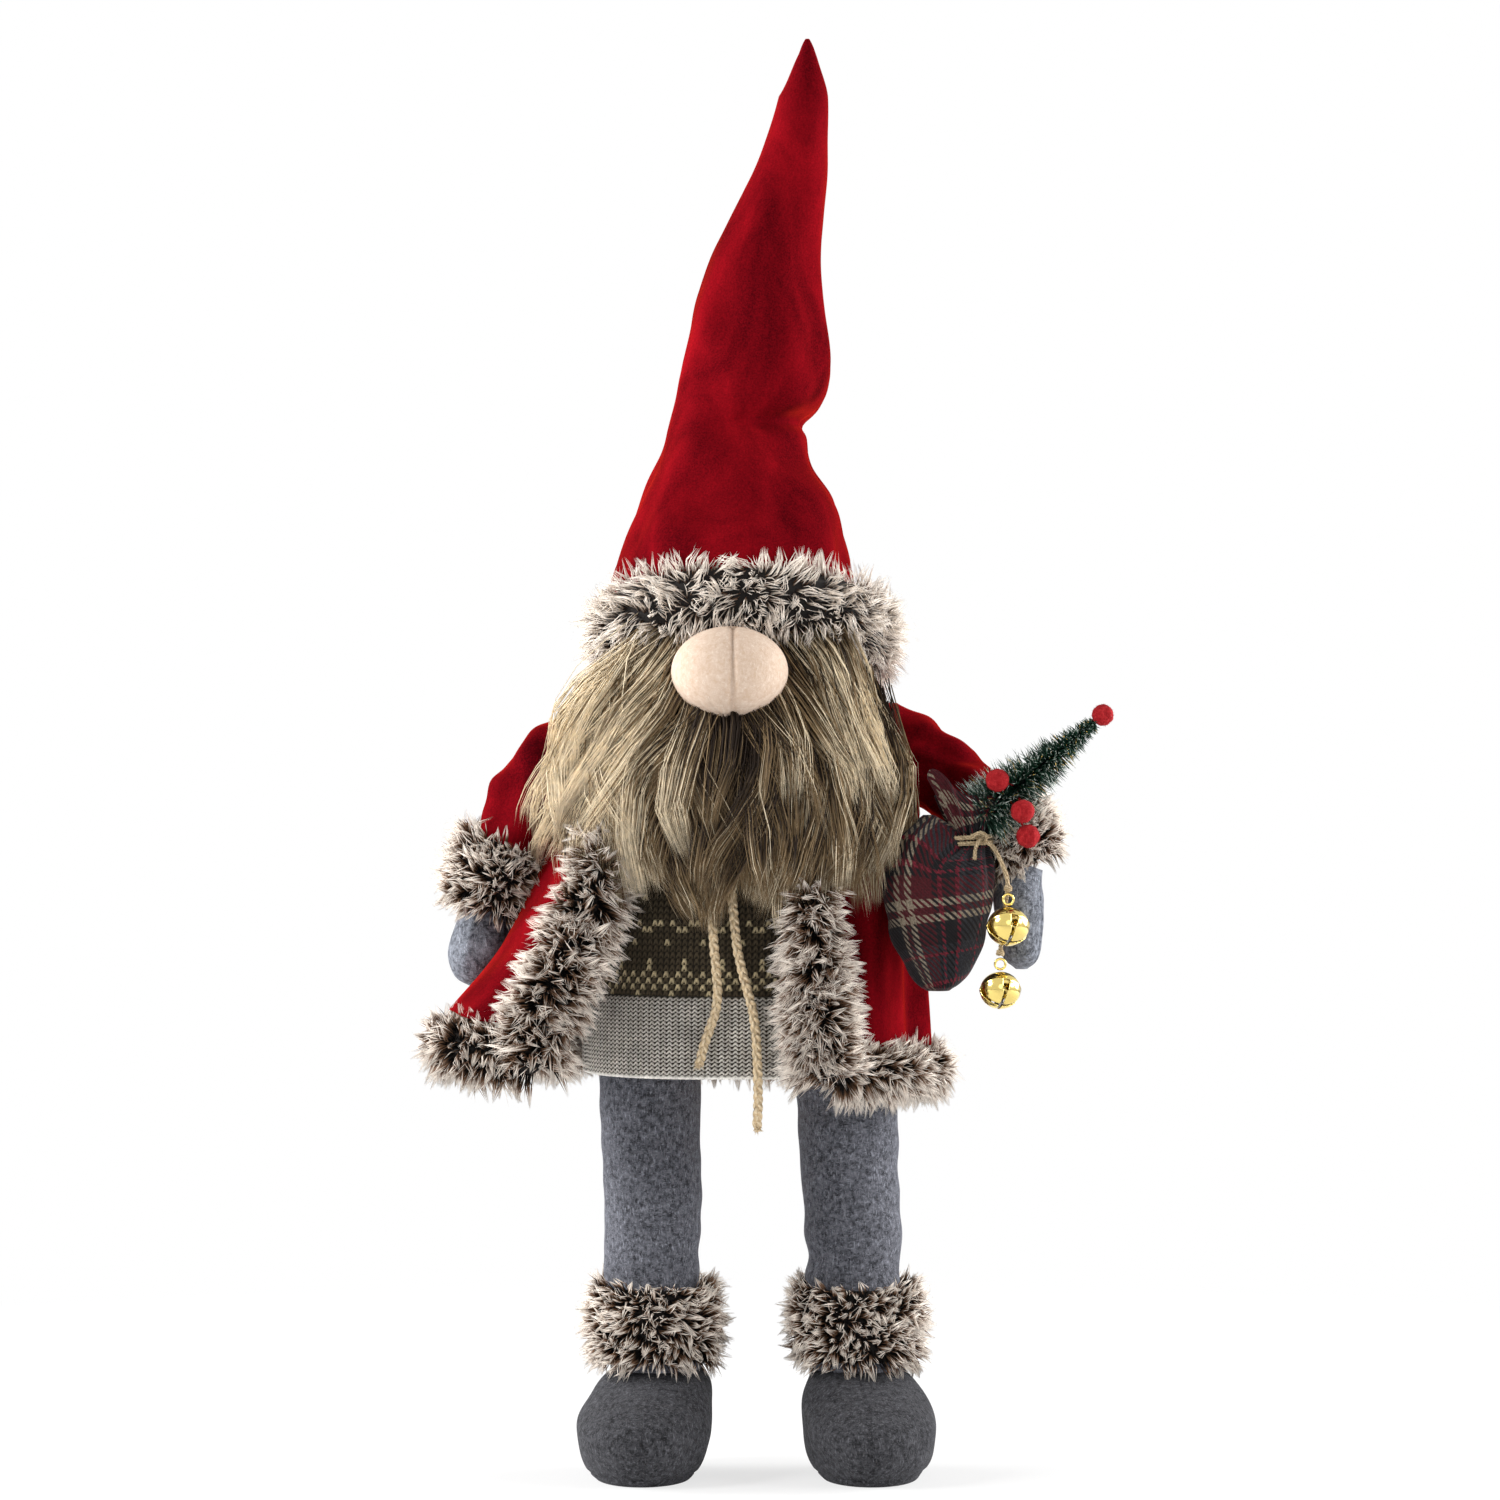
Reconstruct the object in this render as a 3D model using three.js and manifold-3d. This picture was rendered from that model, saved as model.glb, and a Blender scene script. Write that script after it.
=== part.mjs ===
// Rocking gnome figure: a stuffed folk ornament that stands on weighted boots
// and sways on coil springs hidden in its felt legs.
// Millimetres, +Z up. The front faces -Y and the figure's left hand is at +X.
// The origin is on the floor under the middle of the figure.
import * as THREE from "three";
import { mergeVertices } from "three/addons/utils/BufferGeometryUtils.js";
import Module from "manifold-3d";

const wasm = await Module();
wasm.setup();

// Clearances and cloth walls
const gap = 0.3;
const feltWall = 2.5;
const velvetWall = 2.4;
const knitWall = 3;

// Boots
const bootHalfWidth = 41;
const bootHalfLength = 60;
const bootWidestHeight = 27;
const bootTop = 62;
const bootForward = 20;
const bootRoundLow = 37;
const bootRoundHigh = 48;
const bootRoundLength = 40;
const soleThickness = 3.5;
const weightHalfWidth = 24;
const weightHalfLength = 38;
const weightHeight = 17;
const spigotRadius = 14;
const spigotHeight = 12;

// Legs: the felt sleeve tapers down to the boot, with a coil spring inside
const legDepth = 6;
const legTopRadius = 31.5;
const legFootRadius = 27.5;
const rightLegTopX = -67;
const rightLegFootX = -63;
const rightBootX = -70;
const leftLegTopX = 49.5;
const leftLegFootX = 59;
const leftBootX = 65;
const springWire = 2.6;
const springRadius = 18;
const springTurns = 8;

// Fur cuffs round the boot tops
const bootCuffBottom = 67;
const bootCuffHeight = 46;
const bootCuffThickness = 9;

// Torso on its wooden board
const bodyX = -9;
const bodyDepth = 6;
const bodyHalfWidth = 93.7;
const bodyHalfDepth = 76;
const boardBottom = 262;
const boardThickness = 10;
const bodyTop = 462;
const hemBandBottom = 240;
const hemBandHeight = 48;
const hemBandWall = 4;

// Head, nose and hat
const headX = -11;
const headDepth = 4;
const headRadius = 60;
const headHeight = 98;
const noseHalfWidth = 34;
const noseHalfHeight = 26.5;
const noseHalfDepth = 31;
const noseX = -18.3;
const noseDepth = -86;
const noseHeight = 478;
const brimX = -11;
const brimDepth = 6;
const brimHeight = 500;
const brimRadius = 80;
const brimHalfHeight = 22;
const brimHalfThickness = 14;
const brimTilt = 15;
const hatBaseX = -16;
const hatTipX = 27.7;
const hatBottom = 514;
const hatTipHeight = 859;

// Beard
const beardTop = 498;
const beardBottom = 318;
const beardWrap = 138;

// Coat: a flared velvet skirt, open at the front, trimmed with fur
const coatTop = 464;
const coatTopRadiusX = 71.5;
const coatTopRadiusY = 58;
const coatHemHeight = 268;
const coatFoldDepth = 6;
const coatFolds = 7;
const trimRadius = 19;

// Drawstring cords of the coat's collar
const cordDiameter = 6.2;

// Sack, tree and bells in the left hand
const sackHalfWidth = 33;
const sackHalfDepth = 25.5;
const sackDepth = -71;
const sackNeckRadius = 11;
const sackBottom = 292;
const sackFootX = 105.6;
const sackWall = 2;
const twineDiameter = 2.8;
const tieTurns = 2;
const treeLength = 98;
const treeBaseRadius = 24;
const treeTipRadius = 5;
const treeStemRadius = 1.3;
const bristleRings = 27;
const bristleSides = 6;
const berryDiameter = 14;
const tipBerryDiameter = 13;
const bellDiameter = 25;
const bellWall = 0.9;
const bellSlot = 2.2;
const pelletDiameter = 7;

// Colours and finishes
const finish = (color, roughness, metalness = 0) =>
  new THREE.MeshStandardMaterial({ color, roughness, metalness });
const velvet = finish(0xb01812, 0.75);
const fur = finish(0x94806c, 0.95);
const beardFur = finish(0xa08c60, 0.9);
const legFelt = finish(0x70737a, 0.95);
const bootFelt = finish(0x46474c, 0.95);
const mittenFelt = finish(0x828794, 0.95);
const noseFelt = finish(0xf5dcc6, 0.9);
const knit = finish(0x3e382d, 0.95);
const hemKnit = finish(0x99907f, 0.95);
const stuffing = finish(0xece8e0, 1);
const board = finish(0xb99968, 0.8);
const steel = finish(0x9a9ca0, 0.35, 1);
const iron = finish(0x3b3b3d, 0.6, 1);
const cotton = finish(0xd7b987, 0.9);
const jute = finish(0xc8aa78, 0.95);
const plaid = finish(0x5a3038, 0.95);
const pine = finish(0x143c2d, 0.9);
const berry = finish(0xc81419, 0.8);
const brass = finish(0xe0b83c, 0.2, 1);

const v = (x, y, z) => new THREE.Vector3(x, y, z);
const mix = (a, b, t) => a + (b - a) * t;
const rad = THREE.MathUtils.degToRad;
const smooth = (t) => THREE.MathUtils.smoothstep(t, 0, 1);

// A closed body from its triangles, turned so that its faces point out.
function body(points, triangles) {
  let volume = 0;
  for (const [a, b, c] of triangles) {
    volume += points[a].dot(points[b].clone().cross(points[c]));
  }
  const geometry = new THREE.BufferGeometry();
  geometry.setAttribute(
    "position",
    new THREE.Float32BufferAttribute(points.flatMap((p) => p.toArray()), 3),
  );
  geometry.setIndex(triangles.flatMap(([a, b, c]) => (volume < 0 ? [a, c, b] : [a, b, c])));
  return geometry;
}

// A skin over a row of rings with equal counts of points. Its ends are closed
// by fans, or by a strip where a ring runs out along one face and back along
// the other, or the last ring is joined to the first.
function skin(rings, ends = "fan") {
  const count = rings[0].length;
  const points = rings.flat();
  const triangles = [];
  const last = ends === "loop" ? rings.length : rings.length - 1;
  for (let r = 0; r < last; r++) {
    const low = r * count;
    const high = ((r + 1) % rings.length) * count;
    for (let i = 0; i < count; i++) {
      const j = (i + 1) % count;
      triangles.push([low + i, low + j, high + j], [low + i, high + j, high + i]);
    }
  }
  const turnedRound = ([a, b, c]) => [b, a, c];
  if (ends === "fan") {
    for (const [start, turn] of [[0, turnedRound], [(rings.length - 1) * count, (t) => t]]) {
      const middle = points.length;
      const sum = v(0, 0, 0);
      for (let i = 0; i < count; i++) sum.add(points[start + i]);
      points.push(sum.divideScalar(count));
      for (let i = 0; i < count; i++) triangles.push(turn([start + i, start + ((i + 1) % count), middle]));
    }
  }
  if (ends === "strip") {
    for (const [start, turn] of [[0, turnedRound], [(rings.length - 1) * count, (t) => t]]) {
      for (let i = 0; i < count / 2 - 1; i++) {
        const [a, b, c, d] = [i, i + 1, count - 2 - i, count - 1 - i].map((k) => start + k);
        triangles.push(turn([a, b, c]), turn([a, c, d]));
      }
    }
  }
  return body(points, triangles);
}

// A level oval ring, which may tilt about the X axis by a slope of its height.
function oval(x, y, z, radiusX, radiusY, count, slope = 0) {
  return Array.from({ length: count }, (_, i) => {
    const angle = (i / count) * 2 * Math.PI;
    const dy = radiusY * Math.sin(angle);
    return v(x + radiusX * Math.cos(angle), y + dy, z - dy * slope);
  });
}

// Rings square to a path, each with its own radius.
function limbRings(path, radii, count, steps, flatten = 1) {
  const curve = new THREE.CatmullRomCurve3(path);
  const size = new THREE.CatmullRomCurve3(radii.map((r, i) => v(r, i, 0)));
  const side = v(0, 1, 0);
  return Array.from({ length: steps + 1 }, (_, s) => {
    const t = s / steps;
    const centre = curve.getPoint(t);
    const across = curve.getTangent(t).cross(side).normalize();
    const radius = size.getPoint(t).x;
    return Array.from({ length: count }, (_, i) => {
      const angle = (i / count) * 2 * Math.PI;
      return centre
        .clone()
        .addScaledVector(across, radius * Math.cos(angle))
        .addScaledVector(side, flatten * radius * Math.sin(angle));
    });
  });
}

// A tube along a curve, with flat ends.
function tube(curve, radius, sides, steps) {
  const section = new THREE.Shape(
    Array.from({ length: sides }, (_, i) => {
      const angle = (i / sides) * 2 * Math.PI;
      return new THREE.Vector2(radius * Math.cos(angle), radius * Math.sin(angle));
    }),
  );
  return new THREE.ExtrudeGeometry(section, { steps, bevelEnabled: false, extrudePath: curve });
}

// A revolved profile of [radius, height] pairs, standing along Z.
function turned(profile, segments) {
  const points = profile.map(([r, h]) => new THREE.Vector2(r, h));
  return new THREE.LatheGeometry(points, segments).rotateX(Math.PI / 2);
}

// Booleans on closed meshes whose shared vertices are merged.
function toSolid(geometry) {
  let clean = geometry.clone();
  for (const name of Object.keys(clean.attributes)) {
    if (name !== "position") clean.deleteAttribute(name);
  }
  clean = mergeVertices(clean, 1e-4);
  return new wasm.Manifold(
    new wasm.Mesh({
      numProp: 3,
      vertProperties: new Float32Array(clean.attributes.position.array),
      triVerts: new Uint32Array(clean.index.array),
    }),
  );
}

function toGeometry(solid) {
  const mesh = solid.getMesh();
  const geometry = new THREE.BufferGeometry();
  geometry.setAttribute("position", new THREE.BufferAttribute(mesh.vertProperties, 3));
  geometry.setIndex(new THREE.BufferAttribute(mesh.triVerts, 1));
  return geometry;
}

const cut = (geometry, ...tools) =>
  toGeometry(tools.reduce((solid, tool) => solid.subtract(toSolid(tool)), toSolid(geometry)));
const join = (...pieces) =>
  toGeometry(pieces.slice(1).reduce((solid, piece) => solid.add(toSolid(piece)), toSolid(pieces[0])));

// The largest piece that a cut leaves, without its offcuts.
function largest(geometry) {
  const pieces = toSolid(geometry).decompose();
  return toGeometry(pieces.reduce((a, b) => (a.volume() > b.volume() ? a : b)));
}

const figure = new THREE.Group();
function place(name, geometry, material, parent = figure) {
  const mesh = new THREE.Mesh(geometry, material);
  mesh.name = name;
  parent.add(mesh);
  return mesh;
}

// Boots: a felt shell over a cast weight, standing on a flat sole
const bootSection = (bootX, footX, z, inset, count) => {
  const rising = smooth((z - bootWidestHeight) / (bootTop - bootWidestHeight));
  const round = z < bootWidestHeight ? bootRoundLow : bootRoundHigh;
  const rise = (z - bootWidestHeight) / round;
  const riseLength = (z - bootWidestHeight) / bootRoundLength;
  return oval(
    mix(bootX, footX, rising),
    legDepth - bootForward * (1 - rising),
    z,
    bootHalfWidth * Math.sqrt(1 - rise * rise) - inset,
    Math.max(bootHalfLength * Math.sqrt(1 - riseLength * riseLength), legFootRadius + 1) - inset,
    count,
  );
};
const heights = (low, high, steps) =>
  Array.from({ length: steps + 1 }, (_, i) => mix(low, high, i / steps));
const weightBottom = soleThickness + feltWall + 2 * gap;
const weightTop = weightBottom + weightHeight;
const weightDepth = legDepth - bootForward * 0.6;

function addBoot(side, x, footX) {
  const count = 16;
  const low = soleThickness + gap;
  const outer = heights(low, bootTop, 6).map((z) => bootSection(x, footX, z, 0, count));
  const inner = heights(low + feltWall, bootTop, 4)
    .map((z) => bootSection(x, footX, z, feltWall, count))
    .reverse();
  place(`${side}_boot_shell`, skin([...outer, ...inner]), bootFelt);
  const sole = [0, soleThickness].map((z) => bootSection(x, footX, z, 0, count));
  place(`${side}_boot_sole`, skin(sole), bootFelt);
  const block = skin(
    [weightBottom, weightTop].map((z) =>
      oval(x, weightDepth, z, weightHalfWidth, weightHalfLength, count)),
  );
  const spigot = new THREE.CylinderGeometry(spigotRadius, spigotRadius, spigotHeight + 1, 20)
    .rotateX(Math.PI / 2)
    .translate(footX, legDepth, weightTop + (spigotHeight - 1) / 2);
  place(`${side}_boot_weight`, join(block, spigot), iron);
}

// A coil spring that runs from the boot weight up to the board
class Helix extends THREE.Curve {
  constructor(radius, turns, low, high) {
    super();
    Object.assign(this, { radius, turns, low, high });
  }
  getPoint(t, target = v(0, 0, 0)) {
    const angle = t * this.turns * 2 * Math.PI;
    const height = mix(this.low.z, this.high.z, t);
    return target.set(
      mix(this.low.x, this.high.x, t) + this.radius * Math.cos(angle),
      mix(this.low.y, this.high.y, t) + this.radius * Math.sin(angle),
      height,
    );
  }
}

function addLeg(side, topX, footX) {
  const count = 16;
  const ring = (z, inset) => {
    const t = (z - bootTop) / (boardBottom - bootTop);
    const radius = mix(legFootRadius, legTopRadius, t);
    return oval(mix(footX, topX, t), legDepth, z, radius - inset, radius - inset, count);
  };
  const levels = heights(bootTop + gap, boardBottom - gap, 3);
  const outer = levels.map((z) => ring(z, 0));
  const inner = levels.map((z) => ring(z, feltWall)).reverse();
  place(`${side}_leg_sleeve`, skin([...outer, ...inner], "loop"), legFelt);
  const wireSeat = springWire / 2 + gap;
  const helix = new Helix(
    springRadius,
    springTurns,
    v(footX, legDepth, weightTop + wireSeat),
    v(topX, legDepth, boardBottom - wireSeat),
  );
  const steps = springTurns * 8;
  place(`${side}_leg_spring`, tube(helix, springWire / 2, 5, steps), steel);
  const pitch = (boardBottom - weightTop - 2 * wireSeat) / springTurns;
  console.log(`${side} leg spring: least gap between turns ${(pitch - springWire).toFixed(2)} mm`);
  const cuffRing = (z, outset) => {
    const t = (z - bootTop) / (boardBottom - bootTop);
    const radius = mix(legFootRadius, legTopRadius, t) + gap + outset;
    return oval(mix(footX, topX, t), legDepth, z, radius, radius, count);
  };
  const cuffTop = bootCuffBottom + bootCuffHeight;
  const swell = heights(bootCuffBottom, cuffTop, 4);
  const outside = swell.map((z) =>
    cuffRing(z, bootCuffThickness * (0.55 + 0.45 * Math.sin(
      (Math.PI * (z - bootCuffBottom)) / bootCuffHeight))));
  const bore = [cuffTop, bootCuffBottom].map((z) => cuffRing(z, 0));
  place(`${side}_boot_cuff`, skin([...outside, ...bore], "loop"), fur);
}

addBoot("right", rightBootX, rightLegFootX);
addBoot("left", leftBootX, leftLegFootX);
addLeg("right", rightLegTopX, rightLegFootX);
addLeg("left", leftLegTopX, leftLegFootX);

// Torso: a board, a stuffed core, a knit sweater and its folded hem band
const boardTop = boardBottom + boardThickness;
const round = 20;
place(
  "base_board",
  skin([boardBottom, boardTop].map((z) => oval(bodyX, bodyDepth, z, bodyHalfWidth, bodyHalfDepth, round))),
  board,
);
const torsoShrink = (z) => {
  const t = THREE.MathUtils.clamp((z - boardTop) / (bodyTop - boardTop), 0, 1);
  return 1 - 0.08 * t - 0.36 * Math.pow(t, 5);
};
const torsoRing = (z, outset, count = round) =>
  oval(
    bodyX,
    bodyDepth,
    z,
    bodyHalfWidth * torsoShrink(z) + outset,
    bodyHalfDepth * torsoShrink(z) + outset,
    count,
  );
const sweaterLevels = heights(hemBandBottom + hemBandHeight + gap, bodyTop - gap, 4);
const torsoLevels = [boardTop + gap, ...sweaterLevels];
place("torso_core", skin(torsoLevels.map((z) => torsoRing(z, 0))), stuffing);
const hemBandTop = hemBandBottom + hemBandHeight;
const bandRing = (z, outset) =>
  oval(bodyX, bodyDepth, z, bodyHalfWidth + outset, bodyHalfDepth + outset, round);
const bandOuter = [0, 0.15, 0.85, 1].map((t) =>
  bandRing(hemBandBottom + t * hemBandHeight, gap + hemBandWall * (t % 1 ? 1 : 0.6)));
const bandInner = [hemBandTop, hemBandBottom].map((z) => bandRing(z, gap));
place("sweater_hem_band", skin([...bandOuter, ...bandInner], "loop"), hemKnit);
place(
  "sweater_body",
  skin(
    [
      ...sweaterLevels.map((z) => torsoRing(z, gap + knitWall)),
      ...sweaterLevels.map((z) => torsoRing(z, gap)).reverse(),
    ],
    "loop",
  ),
  knit,
);

// Head: a stuffed ball with a gathered nose, under a fur brim that tips back
const brimSlope = Math.tan(rad(brimTilt));
function brimSolid(grow) {
  const across = 24;
  const around = 9;
  const rings = Array.from({ length: across }, (_, i) => {
    const angle = (i / across) * 2 * Math.PI;
    const out = v(Math.cos(angle), Math.sin(angle), 0);
    return Array.from({ length: around }, (_, k) => {
      const turn = (k / around) * 2 * Math.PI;
      const reach = brimRadius + (brimHalfThickness + grow) * Math.cos(turn);
      const y = out.y * reach;
      return v(
        brimX + out.x * reach,
        brimDepth + y,
        brimHeight + (brimHalfHeight + grow) * Math.sin(turn) - y * brimSlope,
      );
    });
  });
  return skin(rings, "loop");
}
place("hat_brim_fur", brimSolid(0), fur);

const headBottom = bodyTop + gap;
const headTop = headBottom + headHeight;
const headWidth = (z) => {
  const t = THREE.MathUtils.clamp((z - headBottom) / headHeight, 0, 1);
  return headRadius * Math.sqrt(Math.max(1 - Math.pow((t - 0.4) / 0.63, 2), 0.02));
};
const headSolid = (grow) =>
  skin(heights(headBottom - grow, headTop + grow, 7).map((z) =>
    oval(headX, headDepth, z, headWidth(z) + grow, headWidth(z) + grow, 20)));
place("head_core", cut(headSolid(0), brimSolid(gap)), stuffing);
const noseBall = (grow) =>
  new THREE.SphereGeometry(1, 15, 9)
    .scale(noseHalfWidth + grow, noseHalfDepth + grow, noseHalfHeight + grow)
    .translate(noseX, noseDepth, noseHeight);
place("nose", cut(noseBall(0), headSolid(gap), brimSolid(gap)), noseFelt);

// Hat: a tall velvet cone with a fold on one side, over loose stuffing.
// Each station is its share of the height, the middle's X and the radius.
const hatStations = [
  [0, hatBaseX, 75],
  [0.075, -16, 71],
  [0.2, -14.7, 56],
  [0.316, -14.2, 41],
  [0.417, -4.5, 43],
  [0.562, -0.3, 36],
  [0.739, 14.7, 25],
  [0.9, 25.4, 15],
  [0.965, hatTipX, 6.5],
];
const hatSides = 18;
const stuffSides = hatSides / 2;
const hatRingAt = (t, inset, sides = hatSides) => {
  const stations = hatStations.map(([at, x, r]) => v(x, at, r));
  const at = THREE.MathUtils.clamp(t, 0, 0.965);
  let k = stations.findIndex((s) => s.y > at);
  if (k < 0) k = stations.length - 1;
  const [a, b] = [stations[k - 1], stations[k]];
  const curve = new THREE.CatmullRomCurve3(stations);
  const local = (k - 1 + (at - a.y) / (b.y - a.y)) / (stations.length - 1);
  const { x, z: radius } = curve.getPoint(local);
  const slope = brimSlope * (1 - smooth(at / 0.3));
  return oval(
    x,
    brimDepth - 2 + 6 * at,
    mix(hatBottom, hatTipHeight, at),
    radius - inset,
    radius - inset,
    sides,
    slope,
  );
};
const hatShares = [0, 0.075, 0.14, 0.2, 0.26, 0.316, 0.36, 0.417, 0.5, 0.62, 0.74, 0.84, 0.9, 0.965];
const hatTip = Array.from({ length: hatSides }, (_, i) => {
  const angle = (i / hatSides) * 2 * Math.PI;
  return v(hatTipX + 1.5 * Math.cos(angle), brimDepth + 4 + 1.5 * Math.sin(angle), hatTipHeight);
});
const hatOuter = [...hatShares.map((t) => hatRingAt(t, 0)), hatTip];
const hatInner = hatShares.slice(0, -2).map((t) => hatRingAt(t, velvetWall)).reverse();
place("hat_shell", cut(skin([...hatInner, ...hatOuter]), brimSolid(gap)), velvet);
const stuffShares = hatShares.slice(1, -2);
place(
  "hat_stuffing",
  cut(
    skin(stuffShares.map((t) => hatRingAt(t, velvetWall + gap, stuffSides))),
    headSolid(gap),
    brimSolid(gap),
  ),
  stuffing,
);

// Coat: its reach from the body's middle depends on the turn about Z, with 0 at
// the back, 90 at the figure's left and -90 at its right, and on the share t of
// its height. It flares to the hem, with a lobe at the right front corner and a
// valley where the right arm hangs.
const rightEdge = -132;
const leftEdge = 150;
const bump = (turn, middle, spread) => Math.exp(-Math.pow((turn - middle) / spread, 2));
const coatHem = (turn) => coatHemHeight - 8 * Math.sin(rad(turn)) + 8 * bump(turn, -112, 16);
const coatReach = (turn, share) => {
  const t = Math.max(share, 0);
  const drop = Math.pow(t, 1.6);
  const side = Math.abs(Math.sin(rad(turn)));
  const top = mix(coatTopRadiusY, coatTopRadiusX, side * side);
  const shoulders = 32 * Math.min(1, t * 5);
  const facing = Math.cos(rad(turn));
  const flare = (4.5 - 4.5 * Math.sin(rad(turn)) + (facing < 0 ? -11.5 : 2) * facing) * drop;
  const lobe = 75 * bump(turn, -118, 22) * Math.pow(t, 2.2);
  const backLobe = 20 * bump(turn, -50, 22) * Math.pow(t, 2);
  const folds = coatFoldDepth * drop * (0.5 + 0.5 * Math.cos(rad(turn) * 2 * coatFolds));
  return top + shoulders + flare + lobe + backLobe + folds;
};
const coatPoint = (turn, t, grow = 0) => {
  const reach = coatReach(turn, t) + grow;
  return v(
    bodyX + reach * Math.sin(rad(turn)),
    bodyDepth + reach * Math.cos(rad(turn)),
    mix(coatTop, coatHem(turn), t),
  );
};
// One panel of the coat between two turns, with its inner face a wall behind.
function coatPanel(fromTurn, toTurn, across, down, grow = 0) {
  const rings = Array.from({ length: across + 1 }, (_, a) => {
    const turn = mix(fromTurn, toTurn, a / across);
    const past = grow / (coatTop - coatHemHeight);
    const shares = heights(-past, 1 + past, down);
    return [
      ...shares.map((t) => coatPoint(turn, t, grow)),
      ...shares.map((t) => coatPoint(turn, t, -velvetWall - grow)).reverse(),
    ];
  });
  return skin(rings, "strip");
}
const sideSeam = 78;
const seamTurn = 0.25;
const coatPanels = {
  coat_right_front: (grow) => coatPanel(rightEdge - grow / 4, -sideSeam - seamTurn, 12, 5, grow),
  coat_back: (grow) => coatPanel(-sideSeam, sideSeam, 30, 5, grow),
  coat_left_front: (grow) => coatPanel(sideSeam + seamTurn, leftEdge + grow / 4, 10, 5, grow),
};
for (const [name, panel] of Object.entries(coatPanels)) place(name, panel(0), velvet);
const wholeCoat = (grow) => Object.values(coatPanels).map((panel) => panel(grow));
const coatBulk = (grow) =>
  skin(heights(0, 1, 5).map((t) =>
    Array.from({ length: 72 }, (_, i) => coatPoint(-180 + 5 * i, t, grow))));
// The room that the sweater and the swaying legs below it take.
const clothedTorso = (grow) =>
  skin(heights(hemBandBottom - 3 * trimRadius, bodyTop, 12).map((z) =>
    torsoRing(z, gap + hemBandWall + grow)));

// Rings of a round fur trim along a path.
function trimRings(path, radii, grow, count, steps) {
  const curve = new THREE.CatmullRomCurve3(path);
  const size = new THREE.CatmullRomCurve3(radii.map((r, i) => v(r, i, 0)));
  const frames = curve.computeFrenetFrames(steps, false);
  return Array.from({ length: steps + 1 }, (_, s) => {
    const centre = curve.getPointAt(s / steps);
    const radius = size.getPoint(s / steps).x + grow;
    return Array.from({ length: count }, (_, i) => {
      const angle = (i / count) * 2 * Math.PI;
      return centre
        .clone()
        .addScaledVector(frames.normals[s], radius * Math.cos(angle))
        .addScaledVector(frames.binormals[s], radius * Math.sin(angle));
    });
  });
}

// Fur trims: one down each front edge, and three round the hem.
function edgeTrim(turn, radii, foot, grow) {
  const shares = [0.28, 0.5, 0.75, 1];
  const path = shares.map((t, i) => coatPoint(turn, t, radii[i] * 0.2));
  path.push(path.at(-1).clone().add(foot));
  return skin(trimRings(path, [...radii, radii.at(-1) * 0.9], grow, 10, 10));
}
const rightTrim = (grow) => edgeTrim(rightEdge - 2, [8, 15, 20, 22], v(-3, 0, -24), grow);
const leftTrim = (grow) => edgeTrim(leftEdge + 8, [7, 12, 17, 19], v(4, 0, -22), grow);
place("right_front_trim", cut(rightTrim(0), ...wholeCoat(gap), clothedTorso(gap)), fur);
place("left_front_trim", cut(leftTrim(0), ...wholeCoat(gap), clothedTorso(gap)), fur);
function hemTrim(fromTurn, toTurn, steps) {
  const rings = Array.from({ length: steps + 1 }, (_, s) => {
    const turn = mix(fromTurn, toTurn, s / steps);
    const slimmer = 2 * Math.sin(rad(turn)) * (turn > 0 ? 1.5 : 0.5);
    const radius = trimRadius - slimmer + 2 * bump(turn, -118, 22);
    const out = v(Math.sin(rad(turn)), Math.cos(rad(turn)), 0);
    const middle = coatPoint(turn, 1, -velvetWall / 2).add(v(0, 0, -radius - gap));
    return Array.from({ length: 10 }, (_, i) => {
      const angle = (i / 10) * 2 * Math.PI;
      return middle
        .clone()
        .addScaledVector(out, radius * Math.cos(angle))
        .add(v(0, 0, radius * Math.sin(angle)));
    });
  });
  return largest(cut(skin(rings), rightTrim(gap), leftTrim(gap), clothedTorso(gap)));
}
place("hem_trim_right", hemTrim(rightEdge, -sideSeam - seamTurn, 8), fur);
place("hem_trim_back", hemTrim(-sideSeam, sideSeam, 20), fur);
place("hem_trim_left", hemTrim(sideSeam + seamTurn, leftEdge, 8), fur);

// Drawstring cords: they leave the collar under the beard and hang to their
// frayed ends in front of the sweater.
const cordRoutes = {
  right: [
    [-24, -55.5, 430], [-24.3, -62.5, 428.5], [-25, -70, 419.5], [-26, -76.6, 405], [-27, -78.2, 390], [-28, -78.4, 376],
    [-28.8, -78.4, 362], [-28.9, -78.4, 348], [-28.5, -78.4, 334], [-27.6, -78.4, 320], [-26.4, -78.4, 306],
    [-25.4, -78.4, 292], [-26.6, -78.4, 280], [-30, -78.4, 270], [-33.2, -78.4, 260.5], [-36, -78.4, 249.6],
  ],
  left: [
    [-15, -56.2, 431], [-15.3, -63, 429.5], [-15.8, -70, 420.5], [-16.5, -76.6, 406], [-17, -78.4, 391], [-17.3, -78.4, 377],
    [-17.3, -78.4, 363], [-17, -78.4, 349], [-15.6, -78.4, 332], [-13.6, -78.4, 315], [-9.6, -78.4, 298],
    [-5.3, -78.4, 282], [-3.2, -78.4, 268], [-2.4, -78.2, 254], [-1.9, -78, 240], [-1.8, -77.8, 226],
    [-2.4, -77.6, 213],
  ],
};
const cordTube = (side, grow) =>
  tube(new THREE.CatmullRomCurve3(cordRoutes[side].map((p) => v(...p))), cordDiameter / 2 + grow, 6, 18);

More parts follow.
